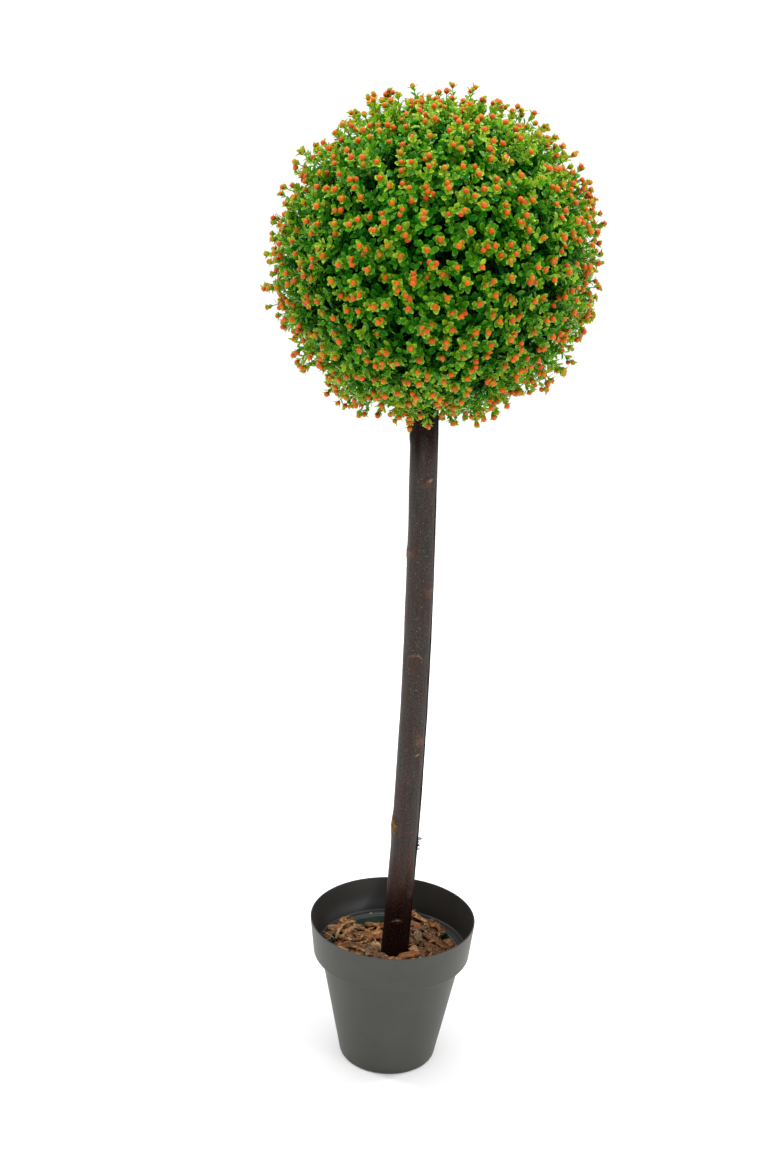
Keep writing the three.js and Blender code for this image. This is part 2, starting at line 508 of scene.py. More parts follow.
@dataclass(frozen=True)
class StemBark(Finish):
    """Thin smooth bark of a cut pole: finely mottled grey-brown, redder in long patches, with pale pores."""

    skin: str = "#38332D"
    skin_red: str = "#392823"
    skin_dark: str = "#171210"
    under: str = "#4C281F"
    raw_wood: str = "#90755A"
    # near-black for the dark foot and for painted shade at the top and down the right
    wet: str = "#0D0403"
    pore: str = "#8E877C"
    mottle_mm: float = 2.6  # the real mottling is nearer 1 mm, and drawn coarser so that it shows
    patch_mm: float = 9.0
    pore_mm: float = 2.5

    def paint(self, tree: Tree, shader: Node) -> None:
        """Fine mottling over long red patches; masks place red under-bark, raw wood, pores, and a darkening
        that is a dark foot and painted shade.

        Args:
            tree: where the nodes go.
            shader: the principled shader.
        """
        place = add_node(tree, "UVMap").outputs["UV"]
        stretched = add_node(tree, "Mapping", sockets={"Vector": place, "Scale": (1.0, 0.14, 1.0)})
        small = {"Vector": place, "Scale": 1000.0 / self.mottle_mm, "Detail": 3.0, "Roughness": 0.7}
        mottle = add_node(tree, "TexNoise", sockets=small).outputs["Fac"]
        large = {"Vector": stretched.outputs["Vector"], "Scale": 1000.0 / self.patch_mm, "Detail": 3.0}
        patches = add_node(tree, "TexNoise", sockets=large).outputs["Fac"]
        spaced = {"Vector": place, "Scale": 1000.0 / self.pore_mm, "Randomness": 0.9}
        cells = add_node(tree, "TexVoronoi", sockets=spaced)
        near = {"Value": cells.outputs["Distance"], "From Min": 0.25, "From Max": 0.12}
        dots = add_node(tree, "MapRange", {"interpolation_type": "SMOOTHSTEP"}, near).outputs["Result"]
        names = ("rust", "scar", "wet", "pores")
        rust, scar, wet, freckled = (
            add_node(tree, "Attribute", {"attribute_name": mask}).outputs["Fac"] for mask in names
        )
        ramps = (
            (cells.outputs["Color"], 0.42, 0.8, 0.0, 1.0),
            (patches, 0.42, 0.6, 0.0, 1.0),
            (patches, 0.46, 0.3, 0.0, 0.6),
            (mottle, 0.58, 0.36, 0.0, 0.75),
            (mottle, 0.48, 0.68, 1.0, 0.6),
            (wet, 0.0, 1.0, 0.2, 0.0),
        )
        chance, red, streak, dark, broken_up, gloss = (
            add_node(tree, "MapRange", sockets=dict(zip(RANGE, ramp))).outputs["Result"] for ramp in ramps
        )
        some, dusky = (
            add_node(tree, "Math", {"operation": "MULTIPLY"}, {0: one, 1: two}).outputs[0]
            for one, two in ((dots, chance), (wet, broken_up))
        )
        pores = add_node(tree, "Math", {"operation": "MULTIPLY"}, {0: some, 1: freckled}).outputs[0]
        layers = [
            (red, self.skin_red),
            (streak, self.skin_dark),
            (rust, self.under),
            (dark, self.skin_dark),
            (pores, self.pore),
            (scar, self.raw_wood),
            # dark foot, and painted shade at the top and down the right
            (dusky, self.wet),
        ]
        height = add_node(tree, "Math", {"operation": "MULTIPLY_ADD"}, {0: pores, 1: 0.5, 2: mottle})
        relief = (height.outputs[0], 0.55, 0.6 * MM)
        self.surface(tree, shader, self.layered(tree, self.skin, layers), relief, 0.52, 0.2)
        tree.links.new(gloss, shader.inputs["Specular IOR Level"])


@dataclass(frozen=True)
class ShreddedBark(Finish):
    """Pine bark torn by a shredder: corky, fibrous, dry and matte, with darker seams along the grain."""

    colour: str
    seam_colour: str
    fibre_mm: float = 1.6
    patch_mm: float = 6.0

    def paint(self, tree: Tree, shader: Node) -> None:
        """Grain is noise stretched along the chip's own length, which its texture places follow.

        Args:
            tree: where the nodes go.
            shader: the principled shader.
        """
        place = add_node(tree, "UVMap").outputs["UV"]
        stretched = add_node(tree, "Mapping", sockets={"Vector": place, "Scale": (0.22, 1.0, 1.0)})
        fine = {"Scale": 1000.0 / self.fibre_mm, "Detail": 6.0, "Roughness": 0.65}
        fibres = {"Vector": stretched.outputs["Vector"], **fine}
        grain = add_node(tree, "TexNoise", sockets=fibres).outputs["Fac"]
        large = {"Vector": place, "Scale": 1000.0 / self.patch_mm, "Detail": 4.0}
        patch = add_node(tree, "TexNoise", sockets=large).outputs["Fac"]
        ramps = ((patch, 0.3, 0.7, 0.0, 0.8), (grain, 0.56, 0.38, 0.0, 1.0))
        tone, seams = (
            add_node(tree, "MapRange", sockets=dict(zip(RANGE, ramp))).outputs["Result"] for ramp in ramps
        )
        # painted shade on each chip's underside
        crevice = add_node(tree, "Attribute", {"attribute_name": "crevice"}).outputs["Fac"]
        layers = [(tone, self.colour), (seams, self.seam_colour), (crevice, BARK_SHADE)]
        colour = self.layered(tree, self.seam_colour, layers)
        self.surface(tree, shader, colour, (grain, 0.8, 1.0 * MM), 0.8, 0.2)


@dataclass(frozen=True)
class MouldedLeaf(Finish):
    """Soft moulded polyethylene leaf: waxy and puckered, so that it glints in small spots.

    Its rib is paler and its rim and tip carry a painted highlight; light comes through its thin blade,
    and no two leaves are quite alike.
    """

    colour: str
    light: str
    specular: float
    edge: float  # share of the painted highlight colour at the very edge
    rim: float = 0.95  # painted highlight: share of the light colour near the edge, under the edge colour
    roughness: float = 0.17
    passed: float = 0.26  # share of the light that comes through the blade
    pucker_mm: float = 3.0

    def paint(self, tree: Tree, shader: Node) -> None:
        """Each leaf's own tint sets its place between its colours; the rib is nearer the light colour,
        and rim and tip carry a painted highlight.

        Texture places run 0 to 1 across the blade, 0.5 at the rib, and 0 to 1 from foot to tip.

        Args:
            tree: where the nodes go.
            shader: the principled shader.
        """
        place = add_node(tree, "UVMap").outputs["UV"]
        across_along = add_node(tree, "SeparateXYZ", sockets={"Vector": place})
        aside = add_node(tree, "Math", {"operation": "SUBTRACT"}, {0: across_along.outputs["X"], 1: 0.5})
        twice = add_node(tree, "Math", {"operation": "MULTIPLY"}, {0: aside.outputs[0], 1: 2.0})
        off_rib = add_node(tree, "Math", {"operation": "ABSOLUTE"}, {0: twice.outputs[0]}).outputs[0]
        ends = {0: off_rib, 1: across_along.outputs["Y"]}
        outward = add_node(tree, "Math", {"operation": "MAXIMUM"}, ends).outputs[0]
        # the rim and edge ramps are painted highlight at each leaf's edge and tip
        ramps = (
            (off_rib, 0.2, 0.05, 0.0, 0.25),
            (outward, 0.76, 1.0, 0.0, self.rim),
            (outward, 0.8, 1.0, 0.0, self.edge),
        )
        rib, rim, edge = (
            add_node(tree, "MapRange", sockets=dict(zip(RANGE, ramp))).outputs["Result"] for ramp in ramps
        )
        tint = add_node(tree, "Attribute", {"attribute_name": "tint"}).outputs["Fac"]
        lines = add_node(tree, "Math", {"operation": "ADD"}, {0: rib, 1: rim}).outputs[0]
        share = add_node(tree, "Math", {"operation": "ADD", "use_clamp": True}, {0: lines, 1: tint})
        colour = self.layered(tree, self.colour, [(share.outputs[0], self.light), (edge, PAINTED_EDGE_HIGHLIGHT)])
        spot = add_node(tree, "TexCoord").outputs["Object"]
        small = {"Vector": spot, "Scale": 1000.0 / self.pucker_mm, "Detail": 1.0}
        puckers = add_node(tree, "TexNoise", sockets=small).outputs["Fac"]
        self.surface(tree, shader, colour, (puckers, 0.8, 1.3 * MM), self.roughness, self.specular)
        thin = add_node(tree, "BsdfTranslucent", sockets={"Color": linear(self.light)}).outputs["BSDF"]
        both = add_node(tree, "MixShader", sockets={0: self.passed, 1: shader.outputs["BSDF"], 2: thin})
        tree.links.new(both.outputs["Shader"], tree.nodes["Material Output"].inputs["Surface"])


@dataclass(frozen=True)
class BerrySkin(Finish):
    """Foam berry dipped in lacquer: saturated, satin, a little uneven, and darker round its foot as painted
    shade.
    """

    colour: str
    deep: str
    roughness: float = 0.45
    specular: float = 0.22
    dimple_mm: float = 1.3

    def paint(self, tree: Tree, shader: Node) -> None:
        """The mask named foot runs from 0 at the berry's tip to 1 at its stalk; the lacquer is dimpled.

        Args:
            tree: where the nodes go.
            shader: the principled shader.
        """
        foot = add_node(tree, "Attribute", {"attribute_name": "foot"}).outputs["Fac"]
        place = add_node(tree, "TexCoord").outputs["Object"]
        small = {"Vector": place, "Scale": 1000.0 / self.dimple_mm, "Detail": 1.0}
        dimples = add_node(tree, "TexNoise", sockets=small).outputs["Fac"]
        centred = add_node(tree, "Math", {"operation": "SUBTRACT"}, {0: dimples, 1: 0.5}).outputs[0]
        summed = {"operation": "MULTIPLY_ADD", "use_clamp": True}
        uneven = add_node(tree, "Math", summed, {0: centred, 1: 0.5, 2: foot})
        # painted shade: the deeper colour towards the berry's foot
        colour = self.layered(tree, self.colour, [(uneven.outputs[0], self.deep)])
        self.surface(tree, shader, colour, (dimples, 0.2, 0.3 * MM), self.roughness, self.specular)


@dataclass(frozen=True)
class PalePaper(Finish):
    """Seamless studio paper: even, pale and quite matte."""

    colour: str

    def paint(self, tree: Tree, shader: Node) -> None:
        """One even colour is what this paper has.

        Args:
            tree: not used.
            shader: the principled shader.
        """
        shader.inputs["Base Color"].default_value = linear(self.colour)
        shader.inputs["Roughness"].default_value = 1.0
        shader.inputs["Specular IOR Level"].default_value = 0.0


PAINTED_EDGE_HIGHLIGHT = "#B8DC5C"  # painted highlight: a whitish green on each leaf's very edge and tip
BARK_SHADE = "#120B07"  # painted shade on the underside of each chip, low down between the chips
PAINTED_SHADE_COLOUR = "#161313"  # painted shade on the pot's ledge and low on its inner wall, and on the liner's lip between its edges
PAINTED_SHEEN_COLOUR = "#6A6E72"  # painted sheen, cooler and paler than the plastic, low on the pot's inner wall at the left and on the liner's lip edges
POT_OUTSIDE = MouldedPolypropylene("polypropylene_grey_matte", "#2E2E29", "#383731", 0.5, 0.42)
LINER_GREEN = MouldedPolypropylene("polypropylene_green_thin", "#2C4239", "#385045", 0.42, 0.25, 0.9, 20.0)
LATTICE_GREEN = MouldedPolypropylene("polyethylene_lattice_green", "#0A2406", "#10320A", 0.5, 0.15)
TWIG_GREEN = MouldedPolypropylene("polyethylene_twig_green", "#2A5C0A", "#44800F", 0.5, 0.15, cloud_mm=12.0)
STEM_BARK = StemBark("bark_smooth_pole")
TORN_WOOD = ShreddedBark("wood_torn_raw", "#9A7448", "#4E321C")
DRY_FIBRE = ShreddedBark("bark_fibre_dry", "#2E1A12", "#120A07", fibre_mm=1.1)
BARK_FINES = ShreddedBark("bark_fines_damp", "#2B1C13", "#120A06", fibre_mm=2.2)


# ---- pot and liner


@dataclass
class CollaredPot:
    """The grey pot: a tapered body under a wider, slightly flared collar, turned from one outline."""

    collar_depth: float = 47.5 * MM
    collar_foot_radius: float = 99.6 * MM
    shoulder_radius: float = 90.4 * MM
    foot_radius: float = 61.6 * MM
    wall: float = 2.2 * MM
    lip_wall: float = 1.7 * MM
    lip_round: float = 0.75 * MM
    step_round: float = 1.6 * MM
    ledge_fillet: float = 3.0 * MM
    foot_round: float = 3.2 * MM
    inner_drops_mm: range = range(4, 44, 4)  # below the lip: extra rings on the inner wall, for its painted shade
    sides: int = 224

    def profile(self) -> Array:
        """Outline from the underside's middle, up the outside, over the lip and down the inside.

        Returns:
            (radius, height) pairs, shape (n, 2).
        """
        low, high = (Vector(corner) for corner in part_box("pot"))
        rim = (high.x - low.x) / 2.0
        top = high.z
        collar_foot = top - self.collar_depth
        ledge = collar_foot + self.lip_wall
        inner_rim = rim - self.lip_wall
        slope = (inner_rim - self.collar_foot_radius + self.wall) / (top - ledge)
        drops = np.array(self.inner_drops_mm) * MM
        return rounded(
            [
                (0.0, 0.0, 0.0),
                (self.foot_radius, 0.0, self.foot_round),
                (self.shoulder_radius, collar_foot, self.step_round * 0.5),
                (self.collar_foot_radius, collar_foot, self.step_round),
                (rim, top, self.lip_round),
                (inner_rim, top, self.lip_round),
                *((inner_rim - slope * drop, top - drop, 0.0) for drop in drops),
                (self.collar_foot_radius - self.wall, ledge, self.ledge_fillet),
                (self.shoulder_radius - self.wall, ledge, self.step_round * 0.6),
                (self.foot_radius - self.wall, self.wall, self.foot_round),
                (0.0, self.wall, 0.0),
            ]
        )

    def stains(self, profile: Array) -> dict[str, Array]:
        """Shares of painted shade and of painted sheen, both on the inside only.

        Painted shade lies on the ledge and low on the wall above it, reaches highest at the back right, and
        veils the left wall. The painted sheen is thin, and stronger low at the left.

        Args:
            profile: the outline.
        Returns:
            The painted shade mask and the painted sheen mask, each of shape (points of the outline, sides).
        """
        radius, height = profile.T[..., None]
        inside = (np.arange(len(profile)) > height.argmax())[:, None]
        angle = round_angles(self.sides)
        # painted shade: it reaches higher up the inner wall towards the back right
        upwards = (6.0 + 130.0 * smoothstep(0.3, 0.95, np.cos(angle - math.radians(45.0)))) * MM
        above = height - (height.max() - self.collar_depth + self.lip_wall)
        on_ledge = smoothstep(self.shoulder_radius + 0.2 * MM, self.shoulder_radius + 1.2 * MM, radius)
        # painted shade on the left inner wall
        left_shade = 0.45 * smoothstep(0.4, 0.95, np.cos(angle - math.radians(178.0)))
        inner_shade = np.maximum(0.85 * np.clip(1.0 - above / upwards, 0.0, 1.0), left_shade)
        # painted sheen, low on the inner wall at the left
        left = smoothstep(0.66, 0.98, np.cos(angle - math.radians(113.0)))
        above_foot = (height - height.max() + self.collar_depth) / MM
        low = np.exp(-(((above_foot - 10.0) / 10.0) ** 2))
        return {
            "soiled": inside * on_ledge * inner_shade,
            "hazed": inside * left * (0.12 + 0.48 * low) * smoothstep(-1.0, 1.0, above_foot),
        }

    def build(self) -> None:
        """Turns the pot and lets it stand for its solid."""
        profile = self.profile()
        pot = turned(profile, self.sides)
        pot.masks = {name: turned_mask(share) for name, share in self.stains(profile).items()}
        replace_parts(pot.piece("pot_shell", POT_OUTSIDE, "pot_plastic"), "pot")


@dataclass
class LinerPot:
    """The thin green nursery pot inside, with a rolled lip that shows above the chips."""

    wall: float = 1.1 * MM
    lip_height: float = 3.2 * MM
    lip_out: float = 1.5 * MM  # how far the lip stands out from the wall
    sheen_reach: tuple[float, float] = (1.1 * MM, 0.5 * MM)  # from an edge: where its painted sheen ends and is full
    above_solid: float = 3.2 * MM  # its lip reaches the ledge, which the solid keeps clear of
    foot_round: float = 2.5 * MM
    sides: int = 192

    def radii(self) -> tuple[float, float, float, float]:
        """The liner's main sizes, read from its solid.

        Returns:
            Foot height, top height, lip radius and foot radius.
        """
        low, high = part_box("liner_pot")
        corners = np.array([v.co[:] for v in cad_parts["liner_pot"].data.vertices])
        at_foot = corners[corners[:, 2] < low[2] + 0.1 * MM]
        lip = (high[0] - low[0]) / 2.0
        return low[2], high[2] + self.above_solid, lip, float(np.hypot(*at_foot[:, :2].T).max())

    def build(self) -> None:
        """Turns the liner: underside, wall, rolled lip, inner wall, floor; painted sheen and shade on the
        lip.
        """
        foot, top, lip, foot_radius = self.radii()
        outside = lip - self.lip_out
        inside = outside - self.wall
        outline = rounded(
            [
                (0.0, foot, 0.0),
                (foot_radius, foot, self.foot_round),
                (outside, top - self.lip_height, 0.4 * MM),
                (lip, top - self.lip_height, 0.5 * MM),
                (lip, top, 0.4 * MM),
                (lip - 0.8 * MM, top, 0.0),
                (inside + 0.8 * MM, top, 0.0),
                (inside, top, 0.5 * MM),
                (inside - 0.1 * MM, top - 1.2 * MM, 0.0),
                (foot_radius - self.wall, foot + self.wall, self.foot_round),
                (0.0, foot + self.wall, 0.0),
            ]
        )
        liner = turned(outline, self.sides)
        radius, height = outline.T[..., None]
        inner, outer = (
            smoothstep(*self.sheen_reach, np.hypot(radius - edge, height - top)) for edge in (inside, lip)
        )
        # painted sheen on the lip's two edges, the outer edge brightest at the right
        at_right = smoothstep(-0.2, 0.8, np.cos(round_angles(self.sides)))
        hazed = np.maximum(inner * (0.5 - 0.25 * at_right), outer * (0.1 + 0.85 * at_right))
        # painted shade on the lip's top between its edges
        soiled = 0.6 * (1.0 - np.maximum(inner, outer)) * (height > top - 0.2 * MM)
        soiled = np.broadcast_to(soiled, hazed.shape)
        liner.masks = {"hazed": turned_mask(hazed), "soiled": turned_mask(soiled)}
        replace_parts(liner.piece("liner_shell", LINER_GREEN, "liner_plastic"), "liner_pot")


# ---- bark bed


class ChipTone(Enum):
    """Colours of bark chip, each with its darker seams."""

    TAN = ("#D2A46E", "#825834")
    RUST = ("#B67848", "#663E24")
    BROWN = ("#9C7450", "#4A3222")
    GREY = ("#A68E72", "#5E4A36")
    PALE = ("#E2CA9E", "#A88654")

    def finish(self) -> ShreddedBark:
        """The bark finish in this tone."""
        return ShreddedBark(f"bark_chip_{self.name.lower()}", *self.value)


@dataclass
class Chip:
    """One chip, in metres and radians: its middle, size, heading and tone.

    Attributes:
        rest: height and the two slopes, for a chip that is propped rather than dropped.
    """

    x: float
    y: float
    length: float
    width: float
    thick: float
    heading: float
    tone: ChipTone
    rest: tuple[float, float, float] | None = None


@dataclass
class BarkBed:
    """Loose chips dropped one after another on dark fines, each resting on what already lies there."""

    chips: int = 270
    chip_lengths_mm: tuple[float, float, float] = (17.0, 10.0, 40.0)  # median, least and greatest
    crumbs: int = 1250
    crumb_lengths_mm: tuple[float, float, float] = (5.5, 3.0, 11.0)
    crumbs_under: float = 0.68  # share of the crumbs that falls before the chips
    cell: float = 1.0 * MM
    reach: float = 82.5 * MM  # the bed's radius, just inside the liner
    stem_clear: float = 18.5 * MM
    below_solid: float = 7.0 * MM  # the fines lie this far below the solid's level, and the chips make it up
    humps: tuple[tuple[float, float, float, float], ...] = (
        (8.0, -58, 46, 24),
        (-8.0, -77, 12, 13),
        (-3.0, -26, 86, 12),
        (3.0, -8, 72, 22),
        (5.0, -14, -26, 18),
        (4.0, 20, -26, 16),
        (7.0, 52, 54, 32),
    )  # height, x, y and reach of each rise or dip in the fines, in mm
    spills: tuple[tuple[float, float, float, int], ...] = (
        (150.0, 24.0, 85.5, 18),
        (-14.0, 24.0, 79.0, 14),
        (250.0, 60.0, 82.0, 12),
        (38.0, 42.0, 78.0, 38),
    )  # chips against the wall: middle and half-spread in degrees, radius in mm, and how many
    seed: int = 41

    def __post_init__(self) -> None:
        """The fines' level, from the solid's middle height."""
        corners = np.array([v.co[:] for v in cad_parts["bark_bed"].data.vertices])
        top = corners[corners[:, 2] > corners[:, 2].mean()]
        self.level = float(np.median(top[:, 2])) - self.below_solid
        self.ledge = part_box("pot")[1][2] - CollaredPot.collar_depth + CollaredPot.lip_wall
        self.rng = np.random.default_rng(self.seed)

    def ground(self, x: Array, y: Array) -> Array:
        """Height of the fines: h exp(-d^2 / reach^2) per hump, a fall at the wall, and then the pot's ledge.

        Args:
            x, y: places in metres.
        Returns:
            One height per place.
        """
        radius = np.hypot(x, y)
        rise = -2.0 * smoothstep(0.85, 1.0, radius / self.reach)
        for height, cx, cy, reach in self.humps:
            rise = rise + height * np.exp(-((x - cx * MM) ** 2 + (y - cy * MM) ** 2) / (reach * MM) ** 2)
        return np.where(radius > self.reach + 1.0 * MM, self.ledge, self.level + rise * MM)

    def key_chips(self) -> list[Chip]:
        """The large chips that show on top, a sliver propped upright and a pale fleck on the pot's ledge as
        a painted glint.

        Returns:
            The chips, from x, y, length, width, thickness in mm and heading in degrees.
        """
        tan, rust, brown, grey, pale = ChipTone
        rows = [
            (-22, 62, 30, 12, 3.5, 0, rust),
            (-45, 46, 20, 12, 4.0, -30, grey),
            (-62, 48, 28, 15, 5.0, 30, tan),
            (-52, 16, 26, 10, 3.5, -15, brown),
            (-33, 31, 40, 15, 4.5, 4, rust),
            (-24, 6, 22, 9, 3.0, -20, grey),
            (-21, 21, 14, 6, 1.8, 6, pale),
            (-69, -4, 34, 13, 4.0, -30, tan),
            (-43, -3, 34, 10, 4.5, -12, brown),
            (44, 56, 46, 14, 4.0, -29, tan),
            (34, 38, 24, 10, 3.5, 10, brown),
            (64, 41, 10, 7, 2.5, 18, pale),
            (73, 35, 8, 5, 2.0, -13, pale),
            (52, 22, 28, 11, 3.5, -20, brown),
            (74, 20, 18, 9, 3.5, 40, rust),
            (32, 11, 16, 8, 3.0, 27, rust),
            (28, -8, 20, 8, 3.0, 65, tan),
            (-15, -19, 38, 14, 5.0, -34, brown),
            (23, -22, 28, 12, 4.5, 15, rust),
            (3, -31, 13, 9, 4.0, 5, tan),
            (-70.7, 26.0, 15.0, 3.4, 2.2, 67, pale, (148.0 * MM, 0.48, 1.13)),
            # a pale fleck on the ledge: a painted glint
            (-30.0, 84.5, 4.6, 1.8, 1.2, 8, pale, (self.ledge + 0.6 * MM, 0.0, 0.0)),
        ]
        return [Chip(*(v * MM for v in row[:5]), math.radians(row[5]), *row[6:]) for row in rows]

    def scattered(self, count: int, middle_mm: float, least_mm: float, most_mm: float) -> list[Chip]:
        """Chips dealt at random over the bed, with log-normal lengths; those at the right are browner.

        Args:
            count: how many.
            middle_mm: median length.
            least_mm: shortest length.
            most_mm: greatest length.
        Returns:
            The chips.
        """
        rng = self.rng
        tones = list(ChipTone)
        mixes = {False: [0.46, 0.26, 0.16, 0.09, 0.03], True: [0.14, 0.24, 0.52, 0.08, 0.02]}
        found = []
        while len(found) < count:
            length = float(np.clip(rng.lognormal(math.log(middle_mm), 0.36), least_mm, most_mm)) * MM
            width = length * rng.uniform(0.34, 0.66)
            radius = (self.reach - length * 0.42) * math.sqrt(rng.uniform())
            angle = rng.uniform(0.0, 2.0 * math.pi)
            x, y = radius * math.cos(angle), radius * math.sin(angle)
            thick = width * rng.uniform(0.14, 0.3)
            heading = rng.uniform(0.0, 2.0 * math.pi)
            tone = tones[rng.choice(len(tones), p=mixes[x > 0.0])]
            if math.hypot(x - self.stem_x, y) > self.stem_clear + width * 0.55:
                found.append(Chip(x, y, length, width, thick, heading, tone))
        return found

    def spilt(self) -> list[Chip]:
        """Chips heaped against the liner's lip and spilt over it on the ledge, in arcs round the bed.

        Returns:
            The chips, arc after arc.
        """
        rng = self.rng
        found = []
        for middle_deg, spread_deg, radius_mm, count in self.spills:
            for _ in range(count):
                angle = math.radians(middle_deg + rng.uniform(-spread_deg, spread_deg))
                radius = (radius_mm + rng.uniform(-3.5, 3.5)) * MM
                length = rng.uniform(8.0, 20.0) * MM
                heading = angle + math.pi / 2.0 + rng.normal(0.0, 0.35)
                width = length * rng.uniform(0.35, 0.55)
                tone = list(ChipTone)[rng.choice(4, p=[0.45, 0.25, 0.2, 0.1])]
                x, y = radius * math.cos(angle), radius * math.sin(angle)
                found.append(Chip(x, y, length, width, width * 0.26, heading, tone))
        return found

    def settle(self, chips: list[Chip]) -> Array:
        """Drops the chips in order on a height map and finds each one's rest.

        Each chip takes the tilt of the plane that best fits the heights under it, at up to 30 degrees, and
        the height at which two thirds of its underside is clear; its top then becomes part of the map.

        Args:
            chips: what to drop, lowest first.
        Returns:
            Rest height and the two slopes of each chip, shape (n, 3).
        """
        edge = self.reach + 12.0 * MM
        ticks = np.arange(-edge, edge + self.cell, self.cell)
        gx, gy = np.meshgrid(ticks, ticks, indexing="ij")
        heights = self.ground(gx, gy)
        rests = np.zeros((len(chips), 3))
        for k, chip in enumerate(chips):
            dx, dy = gx - chip.x, gy - chip.y
            along = (dx * math.cos(chip.heading) + dy * math.sin(chip.heading)) / (chip.length / 2.0)
            across = (-dx * math.sin(chip.heading) + dy * math.cos(chip.heading)) / (chip.width / 2.0)
            inside = np.abs(along) ** 3 + np.abs(across) ** 3 < 1.0
            px, py, pz = dx[inside], dy[inside], heights[inside]
            if chip.rest is not None:
                rests[k] = chip.rest
                continue
            if len(px) < 4:
                rests[k] = self.ground(chip.x, chip.y) + chip.thick, 0.0, 0.0
                continue
            plane = np.stack([px, py, np.ones_like(px)], -1)
            slopes = np.linalg.lstsq(plane, pz, rcond=None)[0][:2]
            slope_x, slope_y = np.clip(slopes, -0.55, 0.55) + self.rng.normal(0.0, 0.07, 2)
            over = pz - slope_x * px - slope_y * py
            height = float(np.percentile(over, 66)) + chip.thick * 0.4
            rests[k] = height, slope_x, slope_y
            dome = np.sqrt(np.clip(1.0 - 0.5 * along[inside] ** 4 - 0.5 * across[inside] ** 4, 0, 1))
            top = height + slope_x * px + slope_y * py + chip.thick / 2.0 * dome
            heights[inside] = np.maximum(pz, top)
        return rests

    def shaped(self, chips: list[Chip], rests: Array, rows: int, columns: int) -> Surface:
        """Chips as rough flakes: a squashed box-like ellipsoid, warped, curled and furrowed along its grain.

        x, y, z = a C(u) C(v), b S(u) C(v), c S(v) with C and S the cosine and sine raised to a power below 1
        with their signs kept; noise then moves the outline, the thickness and the surface.

        Args:
            chips: sizes, places and headings.
            rests: what settle returned for them.
            rows: rings of points on a chip.
            columns: points in a ring.
        Returns:
            All the chips as one surface, with texture places in metres along and across each chip.
        """
        u, v = round_angles(columns), latitudes(rows)
        ring = signed_power(np.cos(v), 0.4)
        side = [signed_power(wave, 0.72) for wave in (np.cos(u), np.sin(u))]
        flat = [ring * side[0], ring * side[1], signed_power(np.sin(v), 0.7)]
        flat = stacked(*flat).reshape(-1, 3)
        flat = np.concatenate([flat, [[0.0, 0.0, -1.0], [0.0, 0.0, 1.0]]])
        count = len(chips)
        half = np.array([[c.length / 2, c.width / 2, c.thick / 2] for c in chips])[:, None]
        shape = flat * half
        own = self.rng.uniform(0.0, 500.0, (count, 1, 3))
        coarse = shape / (0.5 * half.max(-1, keepdims=True)) + own
        warp = stacked(*(value_noise(coarse, k) for k in (1, 2, 3)))
        shape = shape + warp * half * [0.22, 0.34, 0.55]
        shreds = shape / (2.6 * MM) + own
        shape[..., 0] += 0.9 * MM * value_noise(shreds, 6)
        shape[..., 1] += 0.7 * MM * value_noise(shreds, 7)
        taper = 1.0 + self.rng.uniform(-0.35, 0.35, (count, 1)) * shape[..., 0] / half[..., 0]
        shape[..., 1] *= taper
        furrow = value_noise(shape / np.array([7.0, 1.5, 3.0]) / MM + own, 4)
        step = smoothstep(-0.1, 0.15, value_noise(shape / np.array([14.0, 4.5, 9.0]) / MM + own, 5))
        shape[..., 2] += (0.12 * furrow + 0.35 * (step - 0.5) * np.sign(shape[..., 2])) * half[..., 2]
        curl = self.rng.normal(0.0, 0.5, (count, 1)) * half[..., 2]
        shape[..., 2] += curl * ((shape[..., 0] / half[..., 0]) ** 2 - 0.5)
        heading = np.array([c.heading for c in chips])
        rise, slope_x, slope_y = rests.T
        level = [np.cos(heading), np.sin(heading), slope_x * np.cos(heading) + slope_y * np.sin(heading)]
        along = unit(stacked(*level))
        normal = unit(stacked(-slope_x, -slope_y, 1.0))
        axes = np.stack([along, np.cross(normal, along), normal], 1)
        middle = stacked([c.x for c in chips], [c.y for c in chips], rise)
        points = middle[:, None] + shape @ axes
        triangles = copies(capped(rows, columns), points.shape[1], count)
        uv = (shape[..., :2] + own[..., :2] * MM).reshape(-1, 2)
        # painted shade: darker towards each chip's underside
        low = smoothstep(0.35, -0.5, shape[..., 2] / half[..., 2])
        return Surface(points.reshape(-1, 3), triangles, uv[triangles], {"crevice": 0.85 * low.ravel()})

    def fines(self) -> Surface:
        """Dark crumbly filling under the chips: a disc whose top follows the ground with fine noise.

        Returns:
            The disc with its side and its underside.
        """
        steps, sides = 40, 96
        radius = np.linspace(1.0, 0.02, steps)[:, None] * (self.reach - 1.5 * MM)
        angle = round_angles(sides)
        x, y = radius * np.cos(angle), radius * np.sin(angle)
        z = self.ground(x, y) - 1.0 * MM
        z = z + 1.2 * MM * fractal(stacked(x, y, z) / (5.0 * MM), 3, 9)
        base = stacked(x[:1] * 0.97, y[:1] * 0.97, z.min() - 12.0 * MM)
        rings = np.concatenate([base, stacked(x, y, z)])
        poles = [[0.0, 0.0, base[0, 0, 2]], [0.0, 0.0, z[-1].mean()]]
        points = np.concatenate([rings.reshape(-1, 3), poles])
        triangles = capped(len(rings), sides)
        return Surface(points, triangles, points[triangles][..., :2])

    def straw(self) -> Surface:
        """A thin dry straw from the ledge down to the chips at the left: a line with a rise of 4 t (1 - t).

        Returns:
            The straw as a tube.
        """
        steps = 8
        t = np.linspace(0.0, 1.0, steps)[:, None]
        ends = np.array([[-90.0, 20.0, 152.6], [-74.0, 9.5, 149.6]]) * MM
        path = ends[0] * (1 - t) + ends[1] * t + np.array([0.0, 0.0, 1.2 * MM]) * 4.0 * t * (1 - t)
        straw = tubes(path[None], np.full((1, steps), 0.45 * MM), 6)
        straw.corner_uv = straw.points[straw.triangles][..., :2]
        return straw

